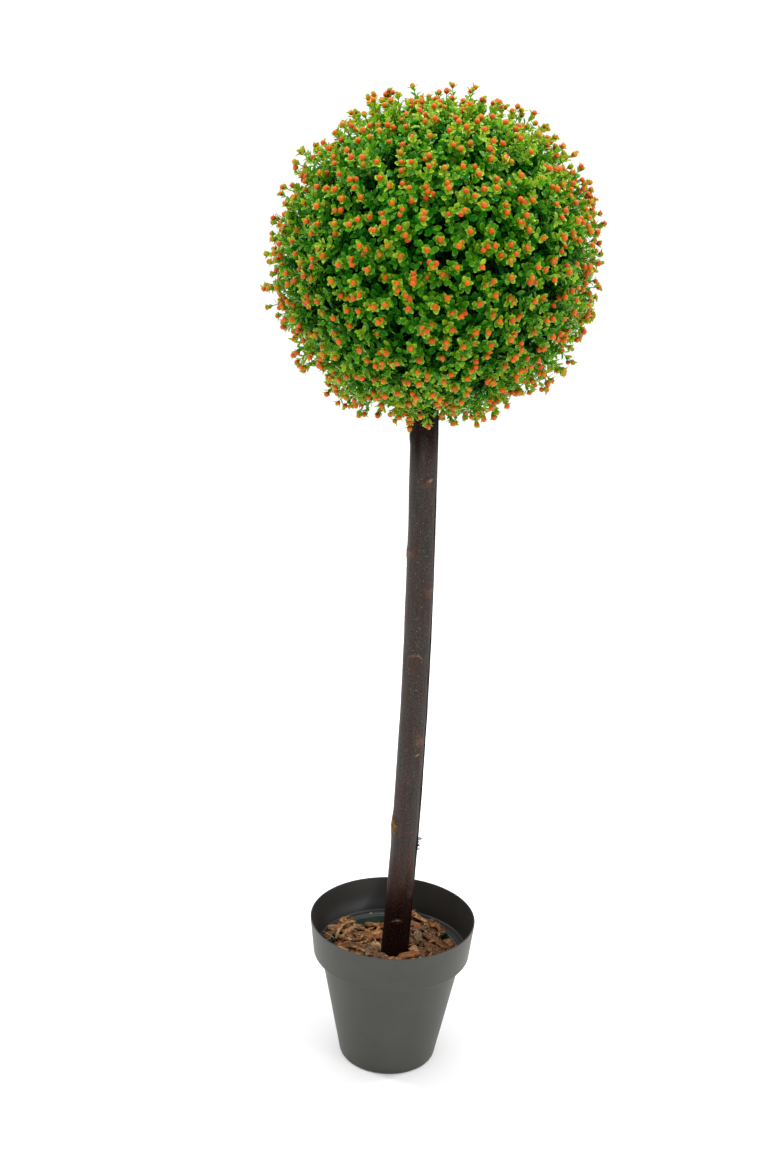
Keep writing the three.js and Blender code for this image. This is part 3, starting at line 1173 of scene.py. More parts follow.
    def build(self, stem: "WoodenStem") -> None:
        """Drops the chips, shapes them tone by tone and adds the fines and the straw.

        Args:
            stem: the chips keep clear of it.
        """
        self.stem_x = float(stem.centre(np.array([self.level]))[0, 0])
        chips = self.scattered(self.chips, *self.chip_lengths_mm) + self.key_chips()
        crumbs = self.scattered(self.crumbs, *self.crumb_lengths_mm)
        under = int(self.crumbs * self.crumbs_under)
        order = crumbs[:under] + chips + self.spilt() + crumbs[under:]
        rests = self.settle(order)
        small = np.array([chip.length < 11.0 * MM for chip in order])
        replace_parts(self.fines().piece("bark_fines", BARK_FINES, "bark"), "bark_bed")
        for tone in ChipTone:
            parts = []
            for grain, rows, columns in ((~small, 10, 22), (small, 4, 8)):
                mine = [k for k in np.flatnonzero(grain) if order[k].tone is tone]
                parts.append(self.shaped([order[k] for k in mine], rests[mine], rows, columns))
            joined(parts).piece(f"bark_chips_{tone.name.lower()}", tone.finish(), "bark", crease_deg=28.0)
        self.straw().piece("bark_bed_straw", ChipTone.PALE.finish(), "bark")


# ---- stem


class ScarKind(Enum):
    """Marks on the stem."""

    COLLAR = "healed branch collar: a low ring with a pale, dimpled middle"
    RING = "level seam: pale above, red under-bark below"
    NICK = "slash down to pale wood"
    RUST = "flaked patch of red under-bark"


COLLAR, RING, NICK, RUST = ScarKind


@dataclass(frozen=True)
class Scar:
    """One mark: kind, height up the stem, angle round it from +X, half-width, half-height, and how proud.

    Its ends hang arch_mm below its middle, and it climbs by slant times the way to the right.
    """

    kind: ScarKind
    height_mm: float
    angle_deg: float
    wide_mm: float
    tall_mm: float
    proud_mm: float
    arch_mm: float = 0.0
    slant: float = 0.0


@dataclass
class WoodenStem:
    """The pole: a tube that follows its solid's centre line and taper, with bark relief, knots and scars."""

    sides: int = 144
    step: float = 1.3 * MM
    coarse_step: float = 12.0 * MM
    seen_from: float = 128.0 * MM
    seen_to: float = 880.0 * MM
    girth_radius_mm: float = 17.0  # the bark's texture places run round at this radius
    splinter_count: int = 12
    splinter_seed: int = 7
    scars: tuple[Scar, ...] = (
        Scar(COLLAR, 191, -92, 6.0, 2.6, 0.9),
        Scar(RING, 194, -92, 7.0, 1.5, 1.2, arch_mm=3.0),
        Scar(RUST, 212, -78, 3.0, 13.0, 0.2),
        Scar(RUST, 229, -46, 5.0, 6.0, 0.6),
        Scar(RUST, 244, -88, 4.0, 9.0, 0.3),
        Scar(RUST, 270, -60, 5.0, 22.0, 0.1),
        Scar(COLLAR, 319, 192, 7.5, 13.0, 2.2),
        Scar(RUST, 316, -70, 6.0, 3.0, 0.3),
        Scar(RUST, 367, -100, 3.0, 2.0, 0.2),
        Scar(RUST, 386, -96, 2.5, 4.5, 0.3),
        Scar(NICK, 419, -62, 3.4, 1.1, -0.4, slant=0.35),
        Scar(RUST, 436, -57, 7.0, 7.0, 0.6),
        Scar(RUST, 446, -70, 6.0, 3.0, 0.3),
        Scar(RING, 549, -98, 9.0, 1.3, 0.7, arch_mm=5.0),
        Scar(RUST, 532, -108, 3.5, 9.0, 0.1),
        Scar(RING, 629, -44, 5.5, 1.2, 0.3, slant=0.22),
        Scar(RUST, 627, -46, 7.0, 4.5, 0.4),
        Scar(COLLAR, 672, 184, 7.0, 6.0, 1.5),
        Scar(RUST, 673, 216, 7.0, 4.5, 0.6),
        Scar(RUST, 672, -106, 4.0, 3.0, 0.2),
        Scar(NICK, 763, -60, 3.9, 2.0, 0.2, slant=0.3),
        Scar(RUST, 758, -76, 7.5, 4.0, 0.4),
        Scar(COLLAR, 815, 182, 7.0, 8.0, 1.6),
        Scar(COLLAR, 380, 75, 6.0, 7.0, 1.4),
        Scar(COLLAR, 600, 110, 6.0, 6.0, 1.3),
        Scar(COLLAR, 720, 40, 5.0, 6.0, 1.1),
        Scar(RUST, 500, 80, 8.0, 20.0, 0.2),
    )

    def __post_init__(self) -> None:
        """Reads the solid's centre line and taper as smooth curves of height."""
        corners = np.array([v.co[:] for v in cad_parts["stem"].data.vertices])
        heights = np.unique(corners[:, 2].round(5))
        rings = [corners[np.abs(corners[:, 2] - z) < 1e-5] for z in heights]
        middles = np.array([(ring.min(0) + ring.max(0))[:2] / 2.0 for ring in rings])
        spans = np.array([np.median(np.hypot(*(ring[:, :2] - m).T)) for ring, m in zip(rings, middles)])
        self.foot, self.top = float(heights[0]), float(heights[-1])
        self.line_x = np.polyfit(heights, middles[:, 0], 4)
        self.line_y = np.polyfit(heights, middles[:, 1], 4)
        self.taper = np.polyfit(heights, spans, 2)

    def centre(self, height: Array) -> Array:
        """Points of the centre line at the given heights, shape (n, 3)."""
        return stacked(np.polyval(self.line_x, height), np.polyval(self.line_y, height), height)

    def radius(self, height: Array) -> Array:
        """Radius without bark relief at the given heights."""
        return np.polyval(self.taper, height)

    def scar_fields(self, angle: Array, height: Array) -> tuple[Array, ...]:
        """Relief, rust and raw-wood shares of all the scars.

        A bump is exp(-q), q being the squared distance over the half-sizes; a collar dips in its middle.

        Args:
            angle: round the stem, broadcast against height.
            height: up the stem.
        Returns:
            Relief in metres, the share of red under-bark, and the share of raw wood.
        """
        relief = np.zeros(np.broadcast(angle, height).shape)
        rust, raw = relief.copy(), relief.copy()
        radius = self.radius(height)
        for scar in self.scars:
            turn = np.angle(np.exp(1j * (angle - math.radians(scar.angle_deg))))
            across = turn * radius / (scar.wide_mm * MM)
            line = scar.height_mm - scar.arch_mm * across**2 + scar.slant * scar.wide_mm * across
            up = (height - line * MM) / (scar.tall_mm * MM)
            ragged = 0.35 * value_noise(stacked(across * 2.1, up * 2.1, scar.height_mm), 3)
            q = across**2 + up**2
            bump = np.exp(-q)
            if scar.kind is COLLAR:
                bump = bump - 0.55 * np.exp(-5.0 * q)
                bare = 0.25 * np.exp(-3.0 * (q + ragged))
                red = 0.7 * np.exp(-1.2 * (q + ragged))
            elif scar.kind is RING:
                beads = 0.3 + 1.1 * np.clip(1.3 * ragged / 0.35 + 0.45, 0.0, 1.0)
                pale = 0.27 + 0.28 * scar.proud_mm
                bare = pale * beads * np.exp(-(across**4 + 1.4 * (up - 0.3) ** 2))
                red = 0.9 * np.exp(-(across**2 + 0.35 * (up + 1.8) ** 2 + ragged))
            elif scar.kind is NICK:
                bare = (0.7 - 0.25 * scar.proud_mm) * np.exp(-1.6 * (q**1.5 + ragged))
                red = 0.0
            else:
                flake = np.exp(-1.3 * (q**1.4 + ragged))
                bare = max(scar.proud_mm - 0.2, 0.0) * 0.35 * flake
                red = 0.85 * flake
            relief += scar.proud_mm * MM * bump
            raw = np.maximum(raw, bare)
            rust = np.maximum(rust, red)
        return relief, np.clip(rust, 0, 1), np.clip(raw, 0, 1)

    def stains(self, spoke: Array, angle: Array, height: Array) -> tuple[Array, ...]:
        """Shares of darkened bark, of red bark low down, and of pores.

        The foot is dark, the top is painted shadow from the ball, and a long band down the right is painted
        shade;
        pores show most in front.

        Args:
            spoke: cosine and sine of the angle, and the height, shape (rows, sides, 3).
            angle: round the stem, broadcast against height.
            height: up the stem.
        Returns:
            Darkening (the dark foot and painted shade), low red bark and pores.
        """
        drift = 12.0 * MM * fractal(spoke * [2.0, 2.0, 30.0], 2, 8)
        foot_dark = smoothstep(290.0 * MM, 198.0 * MM, height + drift)
        turn = np.degrees(np.angle(np.exp(1j * angle))) + 6.0 * fractal(spoke * [3.0, 3.0, 24.0], 3, 9)
        # painted shade: a dark band down the right side of the pole
        right_shade = 0.95 * smoothstep(-30.0, -22.0, turn) * smoothstep(34.0, 22.0, turn)
        right_shade = right_shade * smoothstep(0.35, 0.6, 0.5 + 0.5 * fractal(spoke * [2.0, 2.0, 9.0], 2, 10) + 0.35)
        # painted shadow of the ball at the top of the pole
        shaded = 0.8 * smoothstep(765.0 * MM, 818.0 * MM, height + drift)
        wet = np.maximum(np.maximum(0.87 * foot_dark, shaded), right_shade)
        blotches = smoothstep(-0.7, 0.4, fractal(spoke * [5.0, 5.0, 70.0], 3, 11))
        low_rust = 0.95 * smoothstep(300.0 * MM, 225.0 * MM, height + drift) * blotches
        front = np.exp(-((np.angle(np.exp(1j * (angle + 1.45))) / 0.75) ** 2))
        return wet, low_rust, smoothstep(0.2, 0.45, height) * (0.3 + 0.7 * front)

    def surface(self) -> Surface:
        """The pole on an angle-height grid: radius(height) plus waves, ridges along it, fine pits and scars.

        Returns:
            The closed pole, with masks of red under-bark, raw wood, darkening (dark foot and painted shade)
            and pores.
        """
        rows = np.concatenate(
            [
                np.arange(self.foot, self.seen_from, self.coarse_step),
                np.arange(self.seen_from, self.seen_to, self.step),
                np.append(np.arange(self.seen_to, self.top, self.coarse_step), self.top),
            ]
        )
        height = rows[:, None]
        angle = (round_angles(self.sides) + np.pi / 2.0)[None, :]
        spoke = stacked(np.cos(angle), np.sin(angle), height)
        waves = 0.45 * MM * fractal(spoke * [1.4, 1.4, 16.0], 3, 5)
        ridges = 0.16 * MM * fractal(spoke * [6.5, 6.5, 22.0], 3, 6)
        pits = 0.07 * MM * fractal(spoke * [14.0, 14.0, 420.0], 2, 7)
        relief, rust, raw = self.scar_fields(angle, height)
        radius = self.radius(height) + waves + ridges + pits + relief
        points = self.centre(rows)[:, None] + spoke * [1.0, 1.0, 0.0] * radius[..., None]
        points = np.concatenate([points.reshape(-1, 3), self.centre(rows[[0, -1]])])
        corners = grid_corners(len(rows), self.sides, closed=True)
        triangles = capped(len(rows), self.sides)
        caps = triangles[len(corners):]
        girth = 2.0 * np.pi * self.girth_radius_mm * MM
        uv = stacked(corners[..., 1] * girth / self.sides, rows[corners[..., 0]])
        wet, low_rust, pores = self.stains(spoke, angle, height)
        shares = (np.maximum(rust, low_rust), raw, wet * (1.0 - 0.8 * raw), pores)
        masks = {
            name: np.append(np.broadcast_to(share, radius.shape).ravel(), [0.0, 0.0])
            for name, share in zip(("rust", "scar", "wet", "pores"), shares)
        }
        return Surface(points, triangles, np.concatenate([uv, points[caps][..., :2]]), masks)

    def on_skin(self, height: float, angle: float) -> tuple[Array, Array]:
        """A point on the bark and the outward direction there.

        Args:
            height: up the stem.
            angle: round it from +X, in radians.
        Returns:
            The point and a unit direction.
        """
        out = np.array([math.cos(angle), math.sin(angle), 0.0])
        height_array = np.array([height])
        return self.centre(height_array)[0] + out * self.radius(height_array)[0], out

    def torn_stub(self) -> Surface:
        """The chip of raw wood left where a side branch tore off: a furrowed lens, half sunk in the bark.

        It is C(v) cos u, C(v) sin u, sin v with C the cosine to the 0.6, stretched, and drawn in at its top.

        Returns:
            The closed lens.
        """
        rows, columns = 25, 28
        u, v = round_angles(columns), latitudes(rows)
        ring = np.cos(v) ** 0.6
        lens = stacked(ring * np.cos(u), ring * np.sin(u), np.sin(v))
        furrow = value_noise(lens * [4.0, 4.0, 1.6], 12)
        furrow = furrow + 0.5 * value_noise(lens * [9.0, 9.0, 3.0], 13)
        shape = lens * (np.array([3.4, 5.4, 9.8]) * MM) * (1.0 + 0.3 * furrow[..., None])
        shape[..., 1] *= 1.0 - 0.55 * smoothstep(-0.2, 1.0, lens[..., 2])
        shape[..., 0] += 1.2 * MM * smoothstep(-1.0, 0.6, lens[..., 2]) - 1.4 * MM
        middle, out = self.on_skin(321.0 * MM, math.radians(213.0))
        upwards = np.array([0.0, 0.0, 1.0])
        side = np.cross(upwards, out)
        world = middle + shape[..., :1] * out + shape[..., 1:2] * side + shape[..., 2:] * upwards
        poles = np.stack([world[0].mean(0), world[-1].mean(0)])
        points = np.concatenate([world.reshape(-1, 3), poles])
        triangles = capped(rows, columns)
        return Surface(points, triangles, points[triangles][..., [2, 1]])

    def splinters(self) -> Surface:
        """Fine fibres that stand off the bark at the right: short tapering hairs, bent by t^2.

        Returns:
            The hairs as tubes.
        """
        rng = np.random.default_rng(self.splinter_seed)
        count = self.splinter_count
        t = np.linspace(0.0, 1.0, 7)[None, :, None]
        heights = rng.uniform(286, 304, count) * MM
        angles = np.radians(rng.uniform(-22, 2, count))
        starts, outs = zip(*[self.on_skin(height, angle) for height, angle in zip(heights, angles)])
        start, out = np.array(starts)[:, None], np.array(outs)[:, None]
        rise = rng.uniform(-0.6, 1.0, (count, 1, 1)) * np.array([0.0, 0.0, 1.0])
        length = rng.uniform(3.0, 6.5, (count, 1, 1)) * MM
        bend = unit(rng.normal(0.0, 1.0, (count, 1, 3))) * 0.35
        paths = start - out * 0.5 * MM + length * (t * unit(out + rise) + t**2 * bend)
        radii = np.broadcast_to(0.85 * MM * (1.0 - 0.65 * t[..., 0]), paths.shape[:2])
        hairs = tubes(paths, radii, 5)
        hairs.corner_uv = hairs.points[hairs.triangles][..., [2, 0]]
        return hairs

    def build(self) -> None:
        """Builds the pole in place of its solid, with its torn stub and splinters."""
        pole = self.surface().piece("stem_bark", STEM_BARK, "stem_wood")
        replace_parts(pole, "stem")
        self.torn_stub().piece("stem_torn_stub", TORN_WOOD, "stem_wood")
        self.splinters().piece("stem_splinters", DRY_FIBRE, "stem_wood")


# ---- ball of sprigs


class LeafTone(Enum):
    """Leaves from the tips inwards, darker partly as painted shade: deeper and lighter colour, gloss, edge
    highlight.
    """

    LIME = ("#528C04", "#B2CC28", 0.2, 0.45)
    SPRING = ("#267903", "#6AB216", 0.17, 0.32)
    GREEN = ("#0C5A03", "#2E8E0A", 0.12, 0.06)
    DEEP = ("#043402", "#0E5405", 0.08, 0.0)
    SHADE = ("#021801", "#052802", 0.04, 0.0)

    def finish(self) -> MouldedLeaf:
        """The leaf finish in this tone."""
        return MouldedLeaf(f"polyethylene_leaf_{self.name.lower()}", *self.value)


class BerryTone(Enum):
    """Berry colours, each with the deeper colour of painted shade round the stalk."""

    ORANGE = ("#CE580A", "#963606")
    VERMILION = ("#C24A0D", "#862809")
    TURNING = ("#BC7018", "#7E7016")

    def finish(self) -> BerrySkin:
        """The berry finish in this tone."""
        return BerrySkin(f"lacquer_berry_{self.name.lower()}", *self.value)


class Batch:
    """Arrays of equal length with one entry for each member."""

    def picked(self, which: Array) -> "Batch":
        """The members that an index or a mask picks."""
        return type(self)(*(getattr(self, name)[which] for name in self.__dataclass_fields__))

    @classmethod
    def gathered(cls, batches: list["Batch"]) -> "Batch":
        """Several batches as one."""
        names = cls.__dataclass_fields__
        return cls(*(np.concatenate([getattr(batch, name) for batch in batches]) for name in names))


@dataclass
class Shoots(Batch):
    """Many shoots at once; each goes from its start by run t + bend t^2, with t from 0 to 1.

    Attributes:
        start, run, bend: shape (n, 3).
        spray: the sprig that each belongs to, shape (n,).
    """

    start: Array
    run: Array
    bend: Array
    spray: Array

    @property
    def span(self) -> Array:
        """Distance from start to tip, shape (n,)."""
        return np.linalg.norm(self.run + self.bend, axis=-1)

    def at(self, share: Array) -> Array:
        """Points at shares of the way, shape (n, k, 3), for shares of shape (n, k) or (k,)."""
        t = np.asarray(share)[..., None]
        return self.start[:, None] + self.run[:, None] * t + self.bend[:, None] * t**2

    def direction(self, share: Array) -> Array:
        """Unit directions at shares of the way: run + 2 bend t over its length."""
        t = np.asarray(share)[..., None]
        return unit(self.run[:, None] + 2.0 * self.bend[:, None] * t)


@dataclass
class Leaves(Batch):
    """Many leaves at once: foot, the shoot's axis there, the direction off the shoot, and form.

    Attributes:
        foot, axis, out: shape (n, 3).
        opened, long, wide, curl, fold: shape (n,), in radians, metres, metres, share and share.
        depth: how far back from a tip, in metres, shape (n,).
        spray: the sprig that each belongs to, shape (n,).
    """

    foot: Array
    axis: Array
    out: Array
    opened: Array
    long: Array
    wide: Array
    curl: Array
    fold: Array
    depth: Array
    spray: Array

    @property
    def along(self) -> Array:
        """Unit direction from each leaf's foot to its tip."""
        return self.axis * np.cos(self.opened)[:, None] + self.out * np.sin(self.opened)[:, None]

    def surface(self, rows: tuple[float, ...], tint: Array) -> Surface:
        """Spoon-shaped blades: half-width sin(pi s^1.6)^0.6, folded along the rib, curled back with s^2.

        Args:
            rows: the shares s of the way from foot to tip at which a blade has a row of three points.
            tint: a value for each leaf, kept as a mask.
        Returns:
            One surface, with texture places across and along each blade.
        """
        s = np.concatenate([[0.0], np.repeat(rows, 3), [1.0]])
        w = np.concatenate([[0.0], np.tile([-1.0, 0.0, 1.0], len(rows)), [0.0]])
        half = np.sin(np.pi * s**1.6) ** 0.6 * 0.5
        last = 3 * len(rows) + 1
        ends = [(0, 2, 1), (0, 3, 2), (last - 3, last - 2, last), (last - 2, last - 1, last)]
        each = np.concatenate([ends, 1 + grid_index(grid_corners(len(rows), 3, closed=False), 3)])
        along = self.along
        face = self.axis * np.sin(self.opened)[:, None] - self.out * np.cos(self.opened)[:, None]
        side = np.cross(along, face)
        across = w * half * self.wide[:, None]
        lift = self.fold[:, None] * np.abs(across) - self.curl[:, None] * self.long[:, None] * s**2
        forward = s * self.long[:, None]
        offset = side[:, None] * across[..., None] + along[:, None] * forward[..., None]
        points = self.foot[:, None] + (offset + face[:, None] * lift[..., None])
        triangles = copies(each, len(s), len(self.long))
        uv = np.tile(stacked(0.5 + 0.5 * w, s), (len(self.long), 1))
        return Surface(points.reshape(-1, 3), triangles, uv[triangles], {"tint": np.repeat(tint, len(s))})


@dataclass
class SprigBall:
    """The clipped ball: a lattice core whose nodes each hold a sprig of leafy, berried shoots."""

    frequency: int = 6  # how many struts divide each edge of the core's icosahedron
    core_share: float = 0.58  # core radius over ball radius
    strut: float = 2.4 * MM
    socket: float = 7.2 * MM
    berried: int = 1330  # shoots that end in berries
    leafy: int = 900  # shorter shoots without berries, between them
    inner: int = 840  # short shoots near the core, dark with painted shade, which close it to the eye
    tuft_allowance: float = 4.0 * MM  # how far the solid's bumps stand above its mean radius
    berry_inset: float = 7.5 * MM
    berry_radius: float = 2.96 * MM
    bulges: tuple[tuple[float, float, float, float], ...] = (
        (0.0, -0.3, 0.95, -5.5),
        (-0.95, -0.1, -0.25, 4.0),
        (-0.5, -0.3, -0.8, 5.0),
        (0.5, -0.2, 0.85, 2.5),
    )  # where the clipping stands proud or low: a direction and its height in mm
    young_leaf: float = 8.0 * MM
    old_leaf: float = 10.8 * MM
    leaf_ratio: float = 0.58  # mean width over length
    most_pairs: int = 12  # pairs of leaves on one shoot
    tone_depth: float = 15.5 * MM  # about how far inwards the leaves turn one tone deeper, partly moulded colour and partly painted shade
    near_rows: tuple[float, ...] = (0.3, 0.66, 0.92)
    far_rows: tuple[float, ...] = (0.42, 0.86)
    seed: int = 20

    def __post_init__(self) -> None:
        """Centre and radius of the ball, from its solid's box."""
        low, high = (np.array(corner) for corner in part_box("crown"))
        self.centre = (low + high) / 2.0
        self.radius = float((high - low).mean() / 2.0) - self.tuft_allowance
        self.core_radius = self.radius * self.core_share
        self.rng = np.random.default_rng(self.seed)

    def lattice(self) -> tuple[Array, Array]:
        """Nodes and struts of the core: an icosahedron's faces divided evenly and pushed out to the sphere.

        Returns:
            Unit directions of the nodes, shape (n, 3), and the pairs that struts join, shape (m, 2).
        """
        golden = (1.0 + 5.0**0.5) / 2.0
        corners = [(0, a, b * golden) for a in (-1, 1) for b in (-1, 1)]
        corners = unit(np.array([np.roll(c, k) for k in range(3) for c in corners], dtype=float))
        gap = np.linalg.norm(corners[:, None] - corners[None], axis=-1)
        edge = np.sort(np.unique(gap.round(6)))[1]
        faces = [
            face
            for face in itertools.combinations(range(12), 3)
            if all(abs(gap[pair] - edge) < 1e-4 for pair in itertools.combinations(face, 2))
        ]
        n = self.frequency
        shares = np.array([(i, j, n - i - j) for i in range(n + 1) for j in range(n + 1 - i)]) / n
        spots = unit(np.einsum("kc,fcx->fkx", shares, corners[np.array(faces)]).reshape(-1, 3))
        nodes = unit(np.unique(spots.round(6), axis=0))
        near = np.linalg.norm(nodes[:, None] - nodes[None], axis=-1)
        return nodes, np.argwhere(np.triu(near < 1.45 * edge / n, 1))

    def spread(self, count: int, jitter: float) -> Array:
        """Unit directions dealt evenly over the ball by the golden angle, then moved at random.

        Args:
            count: how many.
            jitter: spread of the random move, as a share of the gap between neighbours.
        Returns:
            The directions, shape (count, 3).
        """
        k = np.arange(count) + 0.5
        z = 1.0 - 2.0 * k / count
        turn = np.pi * (1.0 + 5.0**0.5) * k
        spots = stacked(np.sqrt(1 - z**2) * np.cos(turn), np.sqrt(1 - z**2) * np.sin(turn), z)
        return unit(spots + self.rng.normal(0.0, jitter * math.sqrt(4.0 * math.pi / count), spots.shape))

    def clipped(self, directions: Array) -> Array:
        """Radius of the clipped ball: the even one plus h exp((cos a - 1) / 0.12) per bulge at angle a.

        Args:
            directions: unit directions, shape (n, 3).
        Returns:
            One radius per direction.
        """
        radius = np.full(len(directions), self.radius)
        for *toward, height in self.bulges:
            radius += height * MM * np.exp((directions @ unit(np.array(toward)) - 1.0) / 0.12)
        return radius

    def clear_of(self, stem: "WoodenStem", spots: Array, gap: float) -> Array:
        """Tells which points keep a gap from the stem.

        Args:
            stem: what they keep clear of.
            spots: points of shape (..., 3).
            gap: distance in metres.
        Returns:
            True or False for each point.
        """
        height = np.clip(spots[..., 2], stem.foot, stem.top)
        middle = stem.centre(height.ravel()).reshape(spots.shape)
        away = np.linalg.norm((spots - middle)[..., :2], axis=-1)
        return (spots[..., 2] > stem.top + gap) | (away > stem.radius(height) + gap)

    def aimed(self, stalks: Shoots, directions: Array, reach: Array) -> Shoots:
        """The first branching rule: each place on the ball gets a shoot from the nearest stalk.

        With D the way from start to tip and e the heading at the tip, run = 2 D - |D| e, bend = |D| e - D.

        Args:
            stalks: what the shoots leave, somewhere on their outer half.
            directions: unit directions of the tips from the ball's centre.
            reach: distances of the tips from the centre.
        Returns:
            The shoots.
        """
        rng = self.rng
        ends = unit(stalks.at([1.0])[:, 0] - self.centre)
        closeness = directions @ ends.T + rng.normal(0.0, 0.004, (len(directions), len(ends)))
        chosen = stalks.picked(closeness.argmax(1))
        start = chosen.at(rng.uniform(0.4, 1.0, (len(directions), 1)))[:, 0]
        way = self.centre + directions * reach[:, None] - start
        span = np.linalg.norm(way, axis=-1, keepdims=True)
        heading = unit(0.55 * directions + 0.45 * way / span + rng.normal(0.0, 0.15, way.shape))
        return Shoots(start, 2.0 * way - span * heading, span * heading - way, chosen.spray)

    def forked(self, parents: Shoots, counts: Array, longest: float, margin: Array) -> Shoots:
        """The second branching rule: side shoots fan evenly round a parent at 38 degrees or so to it.

        Args:
            parents: what forks.
            counts: how many side shoots each parent has.
            longest: the length at which they stop.
            margin: how far inside the ball's radius each must stay.
        Returns:
            The side shoots.
        """
        rng = self.rng
        index, order = dealt(counts)
        chosen = parents.picked(index)
        share = rng.uniform(0.25, 0.66, (len(index), 1))
        start, axis = chosen.at(share)[:, 0], chosen.direction(share)[:, 0]
        phase = np.repeat(rng.uniform(0, 2 * np.pi, len(counts)), counts)
        turn = phase + 2 * np.pi * order / counts[index] + rng.normal(0.0, 0.28, len(index))
        lean = np.radians(rng.normal(38.0, 8.0, len(index)))[:, None]
        heading = axis * np.cos(lean) + spokes(axis, turn) * np.sin(lean)
        away = start - self.centre
        along = np.sum(away * heading, -1)
        room = along**2 - np.sum(away**2, -1) + (self.radius - margin[: len(index)]) ** 2
        length = np.minimum(np.sqrt(np.maximum(room, 0.0)) - along, longest)
        run = heading * np.maximum(length, 0.0)[:, None]
        return Shoots(start, run, rng.normal(0.0, 1.2 * MM, start.shape), chosen.spray)

    def cleared(self, stem: "WoodenStem", shoots: Shoots, shortest: float) -> Shoots:
        """Shoots without those that are too short or touch the stem.

        Args:
            stem: what they keep 2.5 mm clear of.
            shoots: all of them.
            shortest: the length in metres that they must pass.
        Returns:
            Those that are left.
        """
        free = self.clear_of(stem, shoots.at(np.linspace(0.0, 1.0, 6)), 2.5 * MM).all(1)
        return shoots.picked(free & (shoots.span > shortest))

    def grow(self, stem: "WoodenStem") -> tuple[Shoots, Shoots, Shoots, Shoots]:
        """Grows stalks from the core's nodes, berried and leafy shoots from the stalks, and side shoots.

        Args:
            stem: shoots keep clear of it.
        Returns:
            Stalks, berried shoots, leafy shoots and side shoots.
        """
        rng = self.rng
        nodes, _ = self.lattice()
        count = len(nodes)
        run = unit(nodes + rng.normal(0, 0.07, (count, 3))) * rng.uniform(0.017, 0.027, (count, 1))
        bend = rng.normal(0.0, 1.5 * MM, (count, 3))
        stalks = Shoots(self.centre + nodes * self.core_radius, run, bend, np.arange(count))
        stalks = self.cleared(stem, stalks, 0.0)
        tuft = rng.normal(0.0, 5.0 * MM, count)
        places = self.spread(self.berried, 0.33)
        berried = self.aimed(stalks, places, self.clipped(places) - self.berry_inset)
        longer = tuft[berried.spray] + rng.normal(0.0, 5.2 * MM, len(places))
        longer = np.clip(longer, -16.0 * MM, 12.5 * MM)[:, None]
        berried.bend = berried.bend + berried.direction([1.0])[:, 0] * longer
        berried = self.cleared(stem, berried, 20.0 * MM)
        places = self.spread(self.leafy, 0.4)
        leafy = self.aimed(stalks, places, self.clipped(places) - rng.uniform(10.0, 32.0, len(places)) * MM)
        leafy = self.cleared(stem, leafy, 15.0 * MM)
        places = self.spread(self.inner, 0.4)
        low = self.aimed(stalks, places, self.core_radius + rng.uniform(16.0, 44.0, len(places)) * MM)
        leafy = Shoots.gathered([leafy, self.cleared(stem, low, 6.0 * MM)])
        counts = rng.choice([0, 1, 2], len(berried.spray), p=[0.48, 0.38, 0.14])
        margin = rng.uniform(13.0, 38.0, 2 * len(counts)) * MM
        sides = self.cleared(stem, self.forked(berried, counts, 25.0 * MM, margin), 7.0 * MM)
        return stalks, berried, leafy, sides

    def leaf(self, place: tuple[Array, ...], opened: float | Array, long: Array, depth: Array) -> Leaves:
        """Leaves of about the given form, each a little different.

        Args:
            place: foot, axis, out and spray, as in Leaves.
            opened: mean angle off the shoot in degrees, or one per leaf.
            long: mean lengths in metres.
            depth: as in Leaves.
        Returns:
            The leaves.
        """
        rng = self.rng
        size = len(long)
        long = long * rng.normal(1.0, 0.11, size)
        opened = np.radians(opened + rng.normal(0.0, 10.0, size))
        wide = long * rng.normal(self.leaf_ratio, 0.05, size)
        curl, fold = rng.normal(0.08, 0.16, size), rng.uniform(0.1, 0.55, size)
        foot, axis, out, spray = place
        return Leaves(foot, axis, out, opened, long, wide, curl, fold, depth, spray)

    def leaf_pairs(self, shoots: Shoots, first: float, stop: float, tip_depth: Array) -> Leaves:
        """Opposite pairs of leaves, each a quarter turn on from the last, wider apart and larger inwards.

        The pairs stand first + 3.9 k + 0.32 k^2 millimetres back from the tip, with k counting from 0.

        Args:
            shoots: what they grow on.
            first: the first pair's distance from the tip, in metres.
            stop: share of the shoot below which it is bare.
            tip_depth: added to the leaves' depth, one per shoot.
        Returns:
            The leaves, pair after pair.
        """
        rng = self.rng
        order = np.arange(self.most_pairs)
        uneven = rng.normal(0.0, 0.6, (len(shoots.span), self.most_pairs))
        back = first + (3.9 * order + 0.32 * order**2 + uneven) * MM
        share = 1.0 - back / shoots.span[:, None]
        foot, axis = shoots.at(share), shoots.direction(share)
        phase = rng.uniform(0, 2 * np.pi, (len(share), 1, 1)) + order[None, :, None] * np.pi / 2
        turn = phase + np.array([0.0, np.pi]) + rng.normal(0.0, 0.3, (*share.shape, 2))
        out = spokes(axis[:, :, None], turn)
        keep = (share > stop)[..., None] & (rng.uniform(size=turn.shape) < 0.94)
        which, pair, _ = np.nonzero(keep)
        depth = back[which, pair] + tip_depth[which]
        old = smoothstep(0.0, 34.0 * MM, depth)
        long = self.young_leaf + (self.old_leaf - self.young_leaf) * old
        place = (foot[which, pair], axis[which, pair], out[keep], shoots.spray[which])
        return self.leaf(place, 40.0 + 24.0 * old, long, depth)

